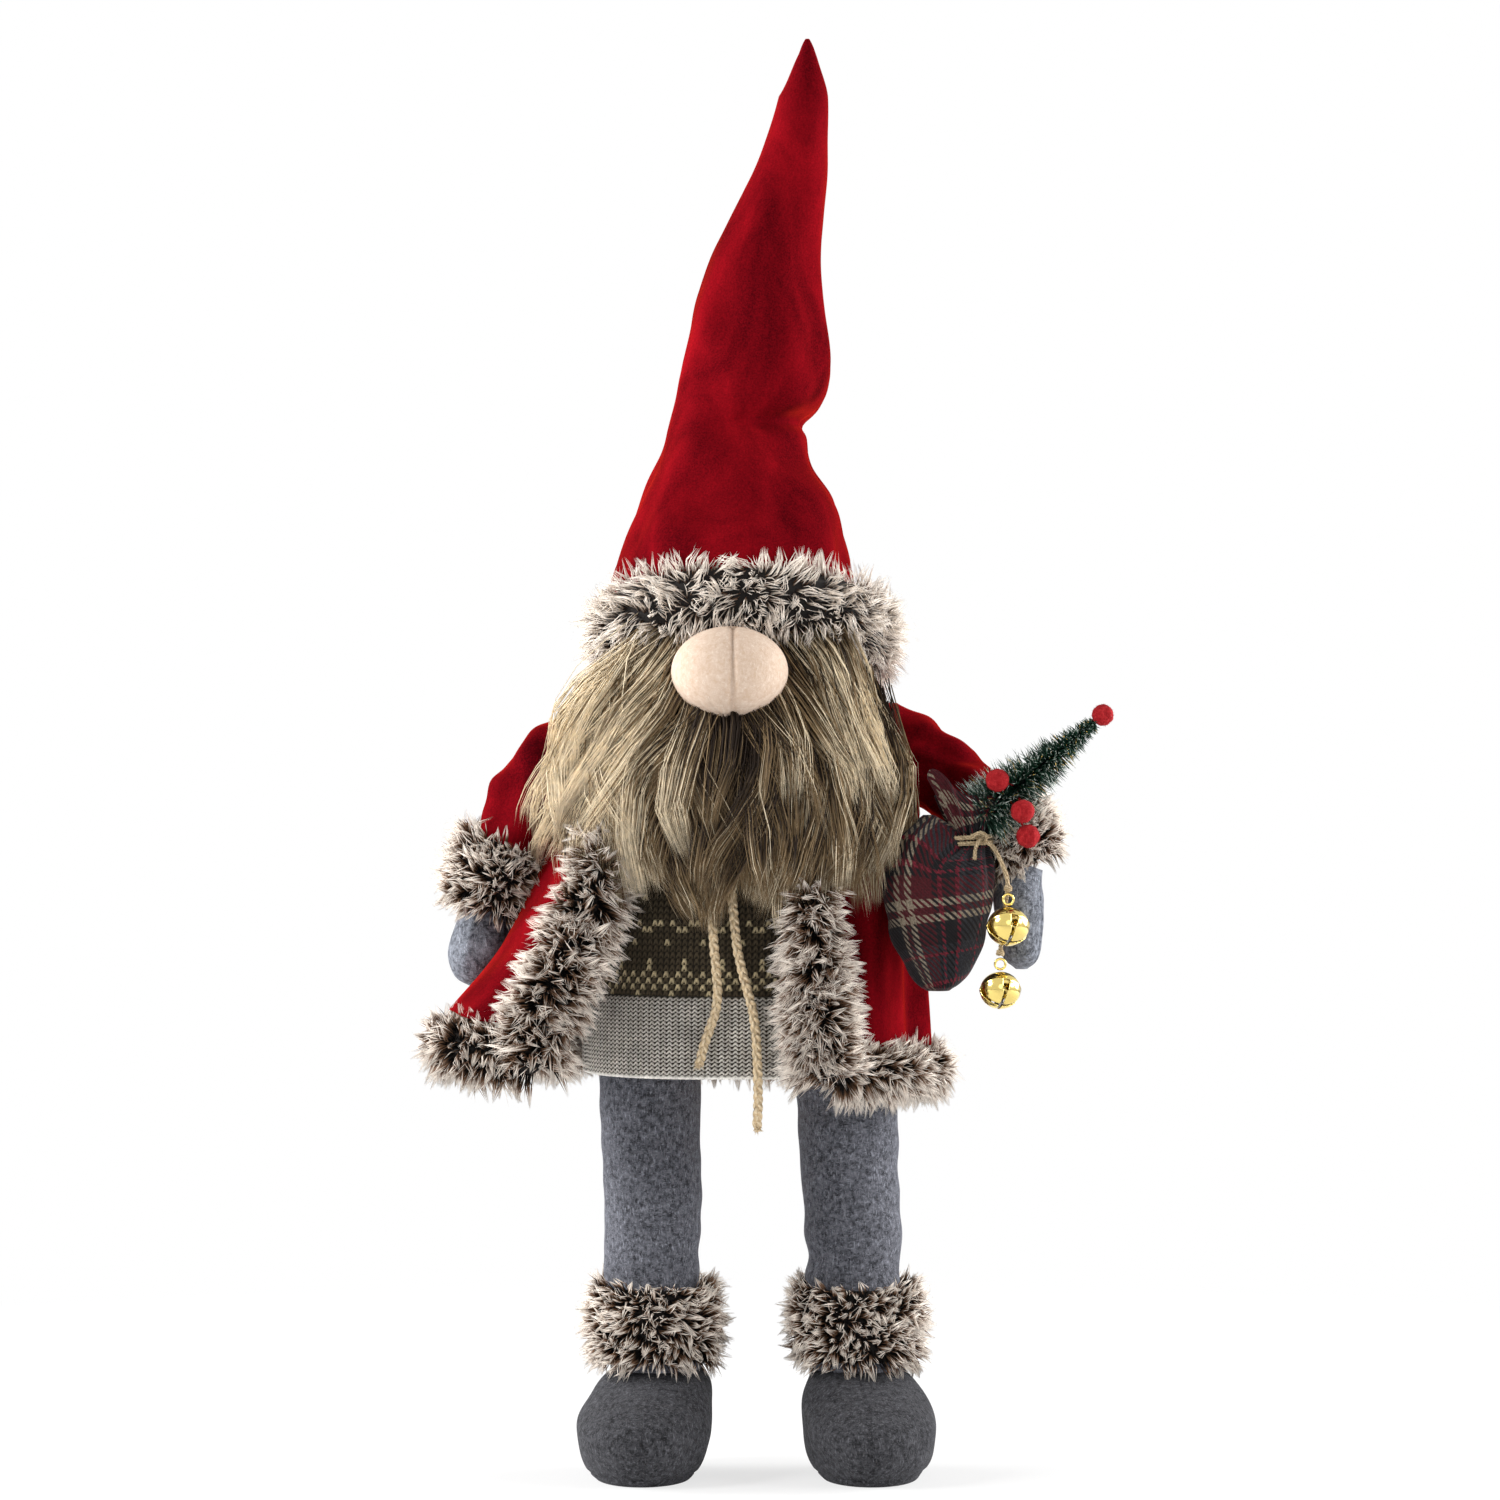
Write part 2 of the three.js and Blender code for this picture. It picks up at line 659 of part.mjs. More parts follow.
// Beard: a fur panel that hangs from under the nose, over the coat's edges.
// Each row gives its height, the reach in front of the body's middle, the
// half-width and the X of its middle.
const beardRows = [
  [beardTop, 84, 70, -12],
  [470, 100, 92, -14],
  [440, 108, 100, -18],
  [408, 112, 104, -22],
  [376, 111, 94, -20],
  [348, 106, 70, -10],
  [beardBottom, 98, 26, -4],
];
const beardCurve = new THREE.CatmullRomCurve3(beardRows.map(([, reach, half, x]) => v(reach, half, x)));
const behindBeard = bodyHalfDepth + hemBandWall + cordDiameter + 12 * gap;
const beardHeights = new THREE.CatmullRomCurve3(beardRows.map(([z]) => v(z, 0, 0)));
const beardRings = heights(0, 1, 8).map((t) => {
  const { x: reach, y: half, z: middle } = beardCurve.getPoint(t);
  const z = beardHeights.getPoint(t).x;
  const across = heights(-1, 1, 8);
  const bend = (x, depth) => v(x, bodyDepth - depth * Math.sqrt(1 - Math.pow((x - bodyX) / beardWrap, 2)), z);
  const front = across.map((u) => bend(middle + half * u, reach));
  const back = across.map((u) => bend(middle + half * u, behindBeard));
  return [...front, ...back.reverse()];
});
place(
  "beard",
  largest(
    cut(
      skin(beardRings, "strip"),
      ...wholeCoat(gap),
      clothedTorso(gap),
      rightTrim(gap),
      leftTrim(gap),
      headSolid(gap),
      brimSolid(gap),
      noseBall(gap),
    ),
  ),
  beardFur,
);

// Arms: each runs from the shoulder to the wrist, and its mitten follows. A
// stuffed core fills a velvet sleeve, and a fur cuff sits round the wrist.
const armSides = 12;
const rightWrist = v(-161, -10, 338);
const rightArm = {
  path: [v(-92, 2, 446), v(-116, 0, 424), v(-137, -4, 396), v(-151, -8, 366), rightWrist],
  radii: [22, 27, 28, 22, 18],
  cuffShare: 0.66,
  cuffSwell: 11,
  mittenPath: [
    rightWrist.clone().add(v(-0.4, 0, -0.8)),
    v(-166, -10, 322), v(-168, -10, 308), v(-170, -10, 297), v(-170.5, -10, 292),
  ],
  mittenRadii: [14, 18, 19, 14, 4],
  mittenFlatten: 1.15,
};
const leftWrist = v(156, -50, 366);
const leftArm = {
  path: [v(70, 2, 446), v(97, -6, 425), v(122, -22, 405), v(145, -40, 385), leftWrist],
  radii: [21, 24, 23, 18, 14.5],
  cuffShare: 0.66,
  cuffSwell: 9,
  mittenPath: [
    leftWrist.clone().add(v(0.2, -0.4, -0.9)),
    v(151, -52, 350), v(152, -53, 330), v(153, -53, 311), v(153, -53, 304),
  ],
  mittenRadii: [11, 15, 14.5, 11, 4],
  mittenFlatten: 1.5,
};
const limb = ({ path, radii }, grow) =>
  skin(limbRings(path, radii.map((r) => r + grow), armSides, 6));
const mitten = (arm, grow) =>
  skin(limbRings(arm.mittenPath, arm.mittenRadii.map((r) => r + grow), armSides, 9, arm.mittenFlatten));
// The limb with its clearance, and again a little past its end.
function limbRoom(arm) {
  const [before, end] = arm.path.slice(-2);
  const past = end.clone().sub(before).setLength(2 * gap);
  return [limb(arm, gap), limb(arm, gap).translate(...past.toArray())];
}

// Sack: a plaid bag that leans on the mitten, gathered at its neck.
// Each row gives the height, the middle's X and the share of the half-width.
const neckX = 121.5;
const neckBottom = 374;
const neckTop = 384;
const sackRows = [
  [sackBottom, sackFootX, 0.3],
  [297, 105, 0.66],
  [308, 104, 0.86],
  [333, 103, 1],
  [352, 106, 0.93],
  [366, 113.5, 0.62],
  [neckBottom, neckX, sackNeckRadius / sackHalfWidth],
  [neckTop, neckX, sackNeckRadius / sackHalfWidth],
  [393, 122, 0.44],
  [405, 122, 0.62],
];
const sackRing = ([z, x, share], inset) => {
  const round = (half) => Math.max(half * share - inset, sackNeckRadius / 3);
  const depth = Math.max(sackHalfDepth * share, Math.min(sackNeckRadius, sackHalfWidth * share));
  return oval(x, sackDepth, z, round(sackHalfWidth), Math.max(depth - inset, sackNeckRadius / 3), 16);
};
const treeFoot = v(124, sackDepth - 2, 390);
const treeAxis = v(75, -6, 63).normalize();
const onTree = (s) => treeFoot.clone().addScaledVector(treeAxis, s);
const treeTip = onTree(treeLength);
const treeStart = 8;
const treeEnd = treeLength - tipBerryDiameter / 2 - gap;
const treeRadius = (s) => {
  const t = THREE.MathUtils.clamp((s - treeStart) / (treeEnd - treeStart), 0, 1);
  return mix(treeBaseRadius, treeTipRadius, Math.pow(t, 0.85)) * (t < 0.08 ? 0.8 : 1);
};
const alongTree = (geometry) =>
  geometry.applyQuaternion(new THREE.Quaternion().setFromUnitVectors(v(0, 0, 1), treeAxis));
const treeRoom = alongTree(
  turned([[0, 0], [treeBaseRadius + 1, 0], [treeTipRadius + 2, treeEnd - treeStart + 4], [0, treeEnd - treeStart + 4]], 20),
).translate(...onTree(treeStart - 1).toArray());
const sackOuter = sackRows.map((row) => sackRing(row, 0));
const innerRows = [[sackBottom + sackWall, sackFootX, 0.32], ...sackRows.slice(1)];
const sackInner = innerRows.map((row) => sackRing(row, sackWall)).reverse();
place(
  "sack_bag",
  largest(cut(skin([...sackOuter, ...sackInner]), mitten(leftArm, gap), treeRoom)),
  plaid,
);
const stemRoute = new THREE.CatmullRomCurve3([
  v(neckX, sackDepth, 350),
  v(neckX, sackDepth, 366),
  v(neckX, sackDepth, 380),
  treeFoot,
  onTree(treeStart - gap),
]);
const fillRows = [[sackBottom + sackWall + gap, sackFootX, 0.32], ...sackRows.slice(1, -2)];
place(
  "sack_filling",
  cut(
    skin(fillRows.map((row) => sackRing(row, sackWall + gap))),
    tube(stemRoute, treeStemRadius + gap, 8, 20),
    mitten(leftArm, gap + sackWall),
  ),
  stuffing,
);
place("tree_stem", tube(stemRoute, treeStemRadius, 8, 16), steel);
const tieRadius = sackNeckRadius + gap + twineDiameter / 2;
const tiePitch = twineDiameter + 0.6;
const tieMiddle = (neckBottom + neckTop) / 2;
const tie = new Helix(
  tieRadius,
  tieTurns,
  v(neckX, sackDepth, tieMiddle - (tieTurns * tiePitch) / 2),
  v(neckX, sackDepth, tieMiddle + (tieTurns * tiePitch) / 2),
);
place("sack_tie", tube(tie, twineDiameter / 2, 6, 18 * tieTurns), jute);
const tiePoints = tie.getPoints(18 * tieTurns);
const tieGap = Math.min(
  ...tiePoints.slice(0, -18).map((p, i) => p.distanceTo(tiePoints[i + 18])),
) - twineDiameter;
console.log(`sack tie: least gap between turns ${tieGap.toFixed(2)} mm`);

// Berries: felt balls on wire stalks that reach the tree's core
const coreRadius = (s) => mix(2.2, 1.2, (s - treeStart) / (treeEnd - treeStart));
const stalkRadius = 0.6;
const berryPlaces = [v(137, -91, 415), v(151.6, -91, 397), v(155, -86, 382.5)];
const berryStalks = berryPlaces.map((place) => {
  const s = place.clone().sub(treeFoot).dot(treeAxis);
  const foot = onTree(s + 6);
  const outward = place.clone().sub(foot).normalize();
  return { place, foot: foot.addScaledVector(outward, coreRadius(s + 6) + 3 * gap) };
});
const berryBall = (middle, grow) =>
  new THREE.SphereGeometry(berryDiameter / 2 + grow, 10, 7).translate(...middle.toArray());
berryStalks.forEach(({ place: middle, foot }, i) => {
  const ball = berryBall(middle, 0);
  const stalk = tube(new THREE.LineCurve3(foot, middle), stalkRadius, 5, 1);
  place(`berry_${i + 1}`, join(ball, stalk), berry);
});
place(
  "tip_berry",
  new THREE.SphereGeometry(tipBerryDiameter / 2, 10, 7).translate(...treeTip.toArray()),
  berry,
);

// Tree: a wire core whose every facet grows one bristle, each ring turned a
// little further. A facet stays bare where a bristle would meet a berry.
function bristledCore() {
  const side = v(0, 1, 0).cross(treeAxis).normalize();
  const up = treeAxis.clone().cross(side);
  const outward = (angle) =>
    side.clone().multiplyScalar(Math.cos(angle)).addScaledVector(up, Math.sin(angle));
  const points = [];
  for (let k = 0; k <= bristleRings; k++) {
    const s = mix(treeStart, treeEnd, k / bristleRings);
    for (let i = 0; i < bristleSides; i++) {
      const angle = ((i + k * 0.37) / bristleSides) * 2 * Math.PI;
      points.push(onTree(s).addScaledVector(outward(angle), coreRadius(s)));
    }
  }
  const triangles = [];
  let strands = 0;
  const clear = (from, to) =>
    berryStalks.every(({ place: ball, foot }) => {
      const line = new THREE.Line3(from, to);
      const near = line.closestPointToPoint(ball, true, v(0, 0, 0));
      if (near.distanceTo(ball) < berryDiameter / 2 + 1.2) return false;
      return heights(0, 1, 8).every((t) => {
        const onStalk = foot.clone().lerp(ball, t);
        return line.closestPointToPoint(onStalk, true, v(0, 0, 0)).distanceTo(onStalk) > 1.8;
      });
    });
  const grow = (a, b, c) => {
    const root = points[a].clone().add(points[b]).add(points[c]).divideScalar(3);
    const s = root.clone().sub(treeFoot).dot(treeAxis);
    const away = root.clone().sub(onTree(s)).normalize();
    const tip = onTree(s + 2).addScaledVector(away, treeRadius(s));
    if (!clear(root, tip)) {
      triangles.push([a, b, c]);
      return;
    }
    strands += 1;
    const apex = points.length;
    points.push(tip);
    triangles.push([a, b, apex], [b, c, apex], [c, a, apex]);
  };
  for (let k = 0; k < bristleRings; k++) {
    for (let i = 0; i < bristleSides; i++) {
      const j = (i + 1) % bristleSides;
      const [low, high] = [k * bristleSides, (k + 1) * bristleSides];
      grow(low + i, low + j, high + j);
      grow(low + i, high + j, high + i);
    }
  }
  for (const [start, flip] of [[0, true], [bristleRings * bristleSides, false]]) {
    for (let i = 1; i < bristleSides - 1; i++) {
      triangles.push(flip ? [start, start + i + 1, start + i] : [start, start + i, start + i + 1]);
    }
  }
  console.log(`tree: ${strands} bristles`);
  return body(points, triangles);
}
place("tree_bristles", bristledCore(), pine);

// Jingle bells: slotted brass shells with a loop, a loose pellet and jute twine
const bellLoopRadius = 3;
const bellLoopWire = 0.75;
const loopRise = bellLoopRadius + bellLoopWire * 0.4;
function addBell(name, middle, diameter) {
  const radius = diameter / 2;
  const slot = (turn) =>
    new THREE.BoxGeometry(diameter * 2, bellSlot, radius)
      .rotateZ(turn)
      .translate(0, 0, -radius * 0.75);
  const inner = new THREE.SphereGeometry(radius - bellWall, 12, 7);
  const hollow = cut(new THREE.SphereGeometry(radius, 12, 9), inner, slot(0.5), slot(0.5 + Math.PI / 2));
  const loop = new THREE.TorusGeometry(bellLoopRadius, bellLoopWire, 5, 12)
    .rotateX(Math.PI / 2)
    .translate(0, 0, radius + loopRise);
  const shell = join(hollow, cut(loop, new THREE.SphereGeometry(radius - bellWall / 2, 12, 7)));
  place(`${name}_bell_shell`, shell.translate(...middle.toArray()), brass);
  const drop = radius - bellWall - pelletDiameter / 2 - 3 * gap;
  place(
    `${name}_bell_pellet`,
    new THREE.SphereGeometry(pelletDiameter / 2, 8, 6).translate(middle.x, middle.y, middle.z - drop),
    steel,
  );
}
const upperBell = v(143, -95, 330);
const lowerBell = v(138.7, -90, 292.8);
addBell("upper", upperBell, bellDiameter);
addBell("lower", lowerBell, bellDiameter - 1);
const knotRadius = 2.6;
const loopTop = (diameter) => diameter / 2 + loopRise + bellLoopRadius + bellLoopWire;
const upperKnot = upperBell.clone().add(v(0, 0, loopTop(bellDiameter) + knotRadius + gap));
const lowerKnot = lowerBell.clone().add(v(0, 0, loopTop(bellDiameter - 1) + knotRadius + gap));
function addTwine(name, route, knot, steps) {
  const strand = tube(new THREE.CatmullRomCurve3(route), twineDiameter / 2, 8, steps);
  const ball = new THREE.SphereGeometry(knotRadius, 8, 6).translate(...knot.toArray());
  place(`${name}_twine`, join(strand, ball), jute);
}
const tieFront = v(neckX + 7.6, sackDepth - tieRadius * 0.78 - 2.6, tieMiddle + 1);
addTwine(
  "upper",
  [tieFront, v(134, -88, 377), v(138.5, -93, 369), v(142, -95, 360), upperKnot],
  upperKnot,
  8,
);
const behindKnot = upperKnot.clone().add(v(0, knotRadius + 2 * gap, 0));
addTwine(
  "lower",
  [behindKnot, v(142.4, -81.5, 345), v(141, -78.2, 334), v(140, -78.8, 322), lowerKnot],
  lowerKnot,
  9,
);
for (const side of ["right", "left"]) {
  place(`drawstring_${side}`, cordTube(side, 0), cotton);
}

function addArm(side, arm, ...tools) {
  const core = skin(limbRings(arm.path, arm.radii.map((r) => r - velvetWall - gap), armSides, 6));
  place(`${side}_arm_core`, cut(core, coatBulk(0), ...wholeCoat(gap)), stuffing);
  const rings = (inset) => limbRings(arm.path, arm.radii.map((r) => r - inset), armSides, 6);
  const sleeve = skin([...rings(0), ...rings(velvetWall).reverse()], "loop");
  place(`${side}_sleeve`, largest(cut(sleeve, coatBulk(0), ...wholeCoat(gap), ...tools)), velvet);
  place(`${side}_mitten`, largest(cut(mitten(arm, 0), ...limbRoom(arm), ...wholeCoat(gap))), mittenFelt);
  const curve = new THREE.CatmullRomCurve3(arm.path);
  const shares = heights(arm.cuffShare, 1, 4);
  const cuffRings = shares.map((t, k) => {
    const swell = arm.cuffSwell * (0.5 + 0.5 * Math.sin((Math.PI * k) / (shares.length - 1)));
    const [ring] = limbRings(arm.path, arm.radii, armSides, 60).slice(Math.round(60 * t));
    const middle = curve.getPoint(Math.round(60 * t) / 60);
    return ring.map((p) => p.clone().add(p.clone().sub(middle).setLength(swell)));
  });
  place(
    `${side}_sleeve_cuff`,
    largest(
      cut(skin(cuffRings), ...limbRoom(arm), mitten(arm, gap), coatBulk(0), ...wholeCoat(gap), ...tools),
    ),
    fur,
  );
}
addArm("right", rightArm);
addArm("left", leftArm, treeRoom, ...berryPlaces.map((middle) => berryBall(middle, gap)));

export default figure;
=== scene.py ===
"""Rocking gnome figure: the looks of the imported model, laid out as a Blender add-on.

Shapes are worked out in millimetres, with +Z up and the front facing -Y, and are
put into the meshes in metres. Right and left are the figure's own.
"""

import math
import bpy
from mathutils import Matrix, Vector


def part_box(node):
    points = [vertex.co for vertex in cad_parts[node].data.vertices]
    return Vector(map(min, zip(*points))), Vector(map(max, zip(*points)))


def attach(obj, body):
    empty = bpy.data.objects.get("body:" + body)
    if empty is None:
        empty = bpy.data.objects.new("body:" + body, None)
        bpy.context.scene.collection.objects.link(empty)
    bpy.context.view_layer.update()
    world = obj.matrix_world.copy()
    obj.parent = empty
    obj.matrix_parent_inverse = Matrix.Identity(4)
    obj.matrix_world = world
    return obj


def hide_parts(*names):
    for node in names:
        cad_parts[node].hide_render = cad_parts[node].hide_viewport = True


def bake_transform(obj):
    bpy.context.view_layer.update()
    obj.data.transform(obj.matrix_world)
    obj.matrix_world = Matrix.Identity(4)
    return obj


bl_info = {
    "name": "Rocking gnome figure",
    "version": (1, 0, 0),
    "blender": (4, 5, 0),
    "location": "3D View > Sidebar > Gnome",
    "description": "Builds the cloth, felt, fur, cords and bells of a rocking gnome figure",
    "category": "Object",
}

import bpy
import numpy as np
from mathutils import Vector

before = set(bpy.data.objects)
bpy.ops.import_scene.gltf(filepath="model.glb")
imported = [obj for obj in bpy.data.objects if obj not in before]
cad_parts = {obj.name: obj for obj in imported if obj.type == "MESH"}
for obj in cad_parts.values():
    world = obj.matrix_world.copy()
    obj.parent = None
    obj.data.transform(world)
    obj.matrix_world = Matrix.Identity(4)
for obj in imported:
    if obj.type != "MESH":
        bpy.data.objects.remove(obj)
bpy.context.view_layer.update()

MM = 0.001
TURN = 2 * math.pi

# Driving sizes of the figure, in millimetres
BODY_X, BODY_Y = -9.0, 6.0
BODY_WIDE, BODY_DEEP = 93.7, 76.0
BODY_LOW, BODY_TOP = 272.0, 462.0
HEM_LOW, HEM_HIGH = 240.0, 288.0
SIDES = ("right", "left")
LEG_Y = 6.0
LEG_X = {"right": (-63.0, -67.0), "left": (59.0, 49.5)}
LEG_RADII = (27.5, 31.5)
BOOT_TOP = 62.0
GAP = 0.3
WALL = 2.4


def node_box(name):
    """A CAD node's lowest and highest corners, in millimetres."""
    low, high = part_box(name)
    return np.array(low) / MM, np.array(high) / MM


# Arrays and meshes


def smooth(t):
    """The smooth step 3t^2 - 2t^3, held between 0 and 1."""
    t = np.clip(t, 0, 1)
    return t * t * (3 - 2 * t)


def mix(a, b, t):
    return a + (b - a) * t


def bump(x, middle, spread):
    """A bell curve of height 1."""
    return np.exp(-(((x - middle) / spread) ** 2))


def circle(count):
    """The angles of that many points round a full turn."""
    return np.arange(count) / count * TURN


def beside(*parts):
    """Arrays or numbers side by side along a new last axis, as points, corners or maps."""
    return np.stack(np.broadcast_arrays(*parts), -1)


def through(rows, t):
    """A Catmull-Rom curve through rows of numbers, at shares t from 0 to 1."""
    rows = np.asarray(rows, float)
    ends = np.vstack([2 * rows[0] - rows[1], rows, 2 * rows[-1] - rows[-2]])
    at = np.clip(np.asarray(t, float), 0, 1) * (len(rows) - 1)
    k = np.minimum(at.astype(int), len(rows) - 2)
    f = (at - k)[..., None]
    a, b, c, d = ends[k], ends[k + 1], ends[k + 2], ends[k + 3]
    square, cube = 2 * a - 5 * b + 4 * c - d, 3 * b - a - 3 * c + d
    return 0.5 * (2 * b + (c - a) * f + square * f**2 + cube * f**3)


def through_values(values, t):
    """The same curve through single numbers."""
    return through(np.array(values)[:, None], t)[:, 0]


def unit(vectors):
    return vectors / np.maximum(np.linalg.norm(vectors, axis=-1, keepdims=True), 1e-9)


def ripple(x, y, z, size, seed):
    """A smooth random field of about -1 to 1: a sum of sines along turned directions."""
    draw = np.random.default_rng(seed)
    total = 0.0
    for _ in range(7):
        way = unit(draw.normal(size=3))
        pace = TURN / size * draw.uniform(0.6, 1.6)
        along = way[0] * x + way[1] * y + way[2] * z
        total = total + np.sin(along * pace + draw.uniform(0, TURN))
    return total / 3.2


def ripple_on(grid, size, seed, stretch=(1, 1, 1)):
    """The same field at a grid of points, with their axes stretched."""
    x, y, z = np.moveaxis(grid * stretch, -1, 0)
    return ripple(x, y, z, size, seed)


def grid_faces(rows, columns, closed=True, looped=False):
    """Quads over a grid of rows by columns, which may close round either way."""
    r = np.arange(rows if looped else rows - 1)[:, None]
    c = np.arange(columns if closed else columns - 1)[None, :]
    across = (c + 1) % columns
    up = (r + 1) % rows
    corners = [r * columns + c, r * columns + across, up * columns + across, up * columns + c]
    return beside(*corners).reshape(-1, 4)


def closed_tube(rings):
    """A tube from an array of rings, with a middle point that closes each end."""
    rows, columns = rings.shape[:2]
    points = np.vstack([rings.reshape(-1, 3), rings[0].mean(0), rings[-1].mean(0)])
    c = np.arange(columns)
    after = (c + 1) % columns
    last = (rows - 1) * columns
    start = beside(after, c, rows * columns)
    end = beside(last + c, last + after, rows * columns + 1)
    return points, [grid_faces(rows, columns), np.vstack([start, end])]


def shell_of(outer, inner):
    """An open tube with a wall: up the outer rings and down the inner ones."""
    rings = np.concatenate([outer, inner[::-1]])
    return rings.reshape(-1, 3), [grid_faces(rings.shape[0], rings.shape[1], looped=True)]


def sheet_of(front, back):
    """A sheet with a thickness, from the grids of its two faces, closed at its rim."""
    rows, columns = front.shape[:2]
    count = rows * columns
    points = np.vstack([front.reshape(-1, 3), back.reshape(-1, 3)])
    face = grid_faces(rows, columns, closed=False)
    index = np.arange(count).reshape(rows, columns)
    rim = np.concatenate([index[0], index[1:, -1], index[-1, -2::-1], index[-2:0:-1, 0]])
    following = np.roll(rim, -1)
    edge = beside(following, rim, rim + count, following + count)
    return points, [face, face[:, ::-1] + count, edge]


def turned_out(points, face_sets):
    """The faces with their order turned if the closed surface points inwards."""
    volume = 0.0
    for faces in face_sets:
        a, *rest = (points[column] for column in faces.T)
        for b, c in zip(rest, rest[1:]):
            volume += np.einsum("ij,ij->", a, np.cross(b, c))
    return [faces[:, ::-1] for faces in face_sets] if volume < 0 else face_sets


class Build:
    """Collects closed surfaces into one mesh, with a UV map and named values per vertex."""

    def __init__(self):
        self.points, self.faces, self.uvs, self.values, self.count = [], [], [], {}, 0

    def add(self, surface, uv=None, **values):
        points, face_sets = surface
        for faces in turned_out(points, face_sets):
            self.faces.append(faces + self.count)
        self.uvs.append(np.zeros((len(points), 2)) if uv is None else uv)
        for name in {**self.values, **values}:
            column = self.values.setdefault(name, [np.zeros(self.count)])
            given = values.get(name, 0.0)
            column.append(np.broadcast_to(np.asarray(given, float).ravel(), (len(points),)))
        self.points.append(points)
        self.count += len(points)
        return self

    def add_hairs(self, paths, half_width, tint=None):
        """Hairs as strand_surface makes them, each with its own tint where one is given."""
        surface, along, each = strand_surface(paths, half_width)
        values = {} if tint is None else {"along": along, "tint": np.repeat(tint, each)}
        return self.add(surface, **values)

    def piece(self, name, finish_name, body, slot, replaces=()):
        """Makes the mesh object at the origin and parents it to its body's empty."""
        points = np.vstack(self.points)
        corners = np.concatenate([f.ravel() for f in self.faces]).astype(np.int32)
        sizes = np.concatenate([np.full(len(f), f.shape[1]) for f in self.faces])
        starts = np.concatenate([[0], np.cumsum(sizes)[:-1]]).astype(np.int32)
        mesh = bpy.data.meshes.new(name)
        mesh.vertices.add(len(points))
        mesh.vertices.foreach_set("co", (points * MM).astype(np.float32).ravel())
        mesh.loops.add(len(corners))
        mesh.loops.foreach_set("vertex_index", corners)
        mesh.polygons.add(len(sizes))
        mesh.polygons.foreach_set("loop_start", starts)
        mesh.polygons.foreach_set("use_smooth", np.ones(len(sizes), bool))
        mesh.update(calc_edges=True)
        layer = mesh.uv_layers.new(name="cloth")
        layer.uv.foreach_set("vector", np.vstack(self.uvs)[corners].astype(np.float32).ravel())
        for key, columns in self.values.items():
            attribute = mesh.attributes.new(key, "FLOAT", "POINT")
            attribute.data.foreach_set("value", np.concatenate(columns).astype(np.float32))
        mesh.materials.append(finish(finish_name))
        piece = bpy.data.objects.new(name, mesh)
        bpy.context.scene.collection.objects.link(piece)
        if body:
            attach(piece, body)
        if replaces:
            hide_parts(*replaces)
        return piece


def oval_rings(middles, wide, deep, columns):
    """Level rings: middle + (wide cos a, deep sin a), one ring for each row of middles."""
    angle = circle(columns)
    wide, deep = np.reshape(wide, (-1, 1)), np.reshape(deep, (-1, 1))
    x = middles[:, :1] + wide * np.cos(angle)
    y = middles[:, 1:2] + deep * np.sin(angle)
    return beside(x, y, middles[:, 2:3])


def path_frames(path):
    """Two unit vectors square to a path at each point, which do not spin along it."""
    tangents = unit(np.gradient(path, axis=0))
    side = unit(np.cross(tangents[0], [0.0, 1.0, 0.0]) + 1e-6)
    sides = np.empty_like(path)
    for k, tangent in enumerate(tangents):
        side = side - tangent * side.dot(tangent)
        side = side / np.linalg.norm(side)
        sides[k] = side
    return sides, np.cross(tangents, sides)


def tube_rings(path, radius, columns):
    """Rings square to a path, whose radius may change along it."""
    sides, ups = path_frames(path)
    angle = circle(columns)
    radius = np.broadcast_to(radius, len(path))[:, None]
    across, up = (radius * np.cos(angle))[..., None], (radius * np.sin(angle))[..., None]
    return path[:, None] + (sides[:, None] * across + ups[:, None] * up)


def run_along(path):
    """The distance along a path from its start to each of its points."""
    return np.concatenate([[0], np.cumsum(np.linalg.norm(np.diff(path, axis=0), axis=1))])


def resample(path, count):
    """The same path with its points an even distance apart."""
    along = run_along(path)
    even = np.linspace(0, along[-1], count)
    return beside(*(np.interp(even, along, values) for values in path.T))


def path_length(path):
    return float(np.linalg.norm(np.diff(path, axis=0), axis=1).sum())


# Materials: small helpers for node trees, then shared groups, then one function a finish


def feed(tree, node, inputs):
    """Gives a node's inputs their values, or links them to other nodes' outputs."""
    for key, value in inputs.items():
        if isinstance(value, bpy.types.NodeSocket):
            tree.links.new(value, node.inputs[key])
        else:
            node.inputs[key].default_value = value
    return node


def add_node(tree, kind, inputs=None, **settings):
    node = tree.nodes.new(kind)
    for key, value in settings.items():
        setattr(node, key, value)
    return feed(tree, node, inputs or {})


def math_node(tree, operation, a, b=0.0, clamp=False):
    settings = {"operation": operation, "use_clamp": clamp}
    return add_node(tree, "ShaderNodeMath", {0: a, 1: b}, **settings).outputs[0]


def blend_colors(tree, share, a, b, mode="MIX"):
    inputs = {0: share, 6: a, 7: b}
    return add_node(tree, "ShaderNodeMix", inputs, data_type="RGBA", blend_type=mode).outputs[2]


def shaded(tree, color, tone):
    """A colour times a value."""
    tone = add_node(tree, "ShaderNodeCombineColor", {0: tone, 1: tone, 2: tone}).outputs[0]
    return blend_colors(tree, 1.0, color, tone, "MULTIPLY")


def ramp(tree, share, stops):
    """A colour ramp over (position, colour) stops."""
    node = add_node(tree, "ShaderNodeValToRGB", {0: share})
    elements = node.color_ramp.elements
    while len(elements) < len(stops):
        elements.new(0.5)
    for element, (position, color) in zip(elements, stops):
        element.position, element.color = position, color
    return node.outputs[0]


def span(tree, value, low, high, to_low=0.0, to_high=1.0):
    """A value carried from one range to another and held there."""
    inputs = {0: value, 1: low, 2: high, 3: to_low, 4: to_high}
    return add_node(tree, "ShaderNodeMapRange", inputs).outputs[0]


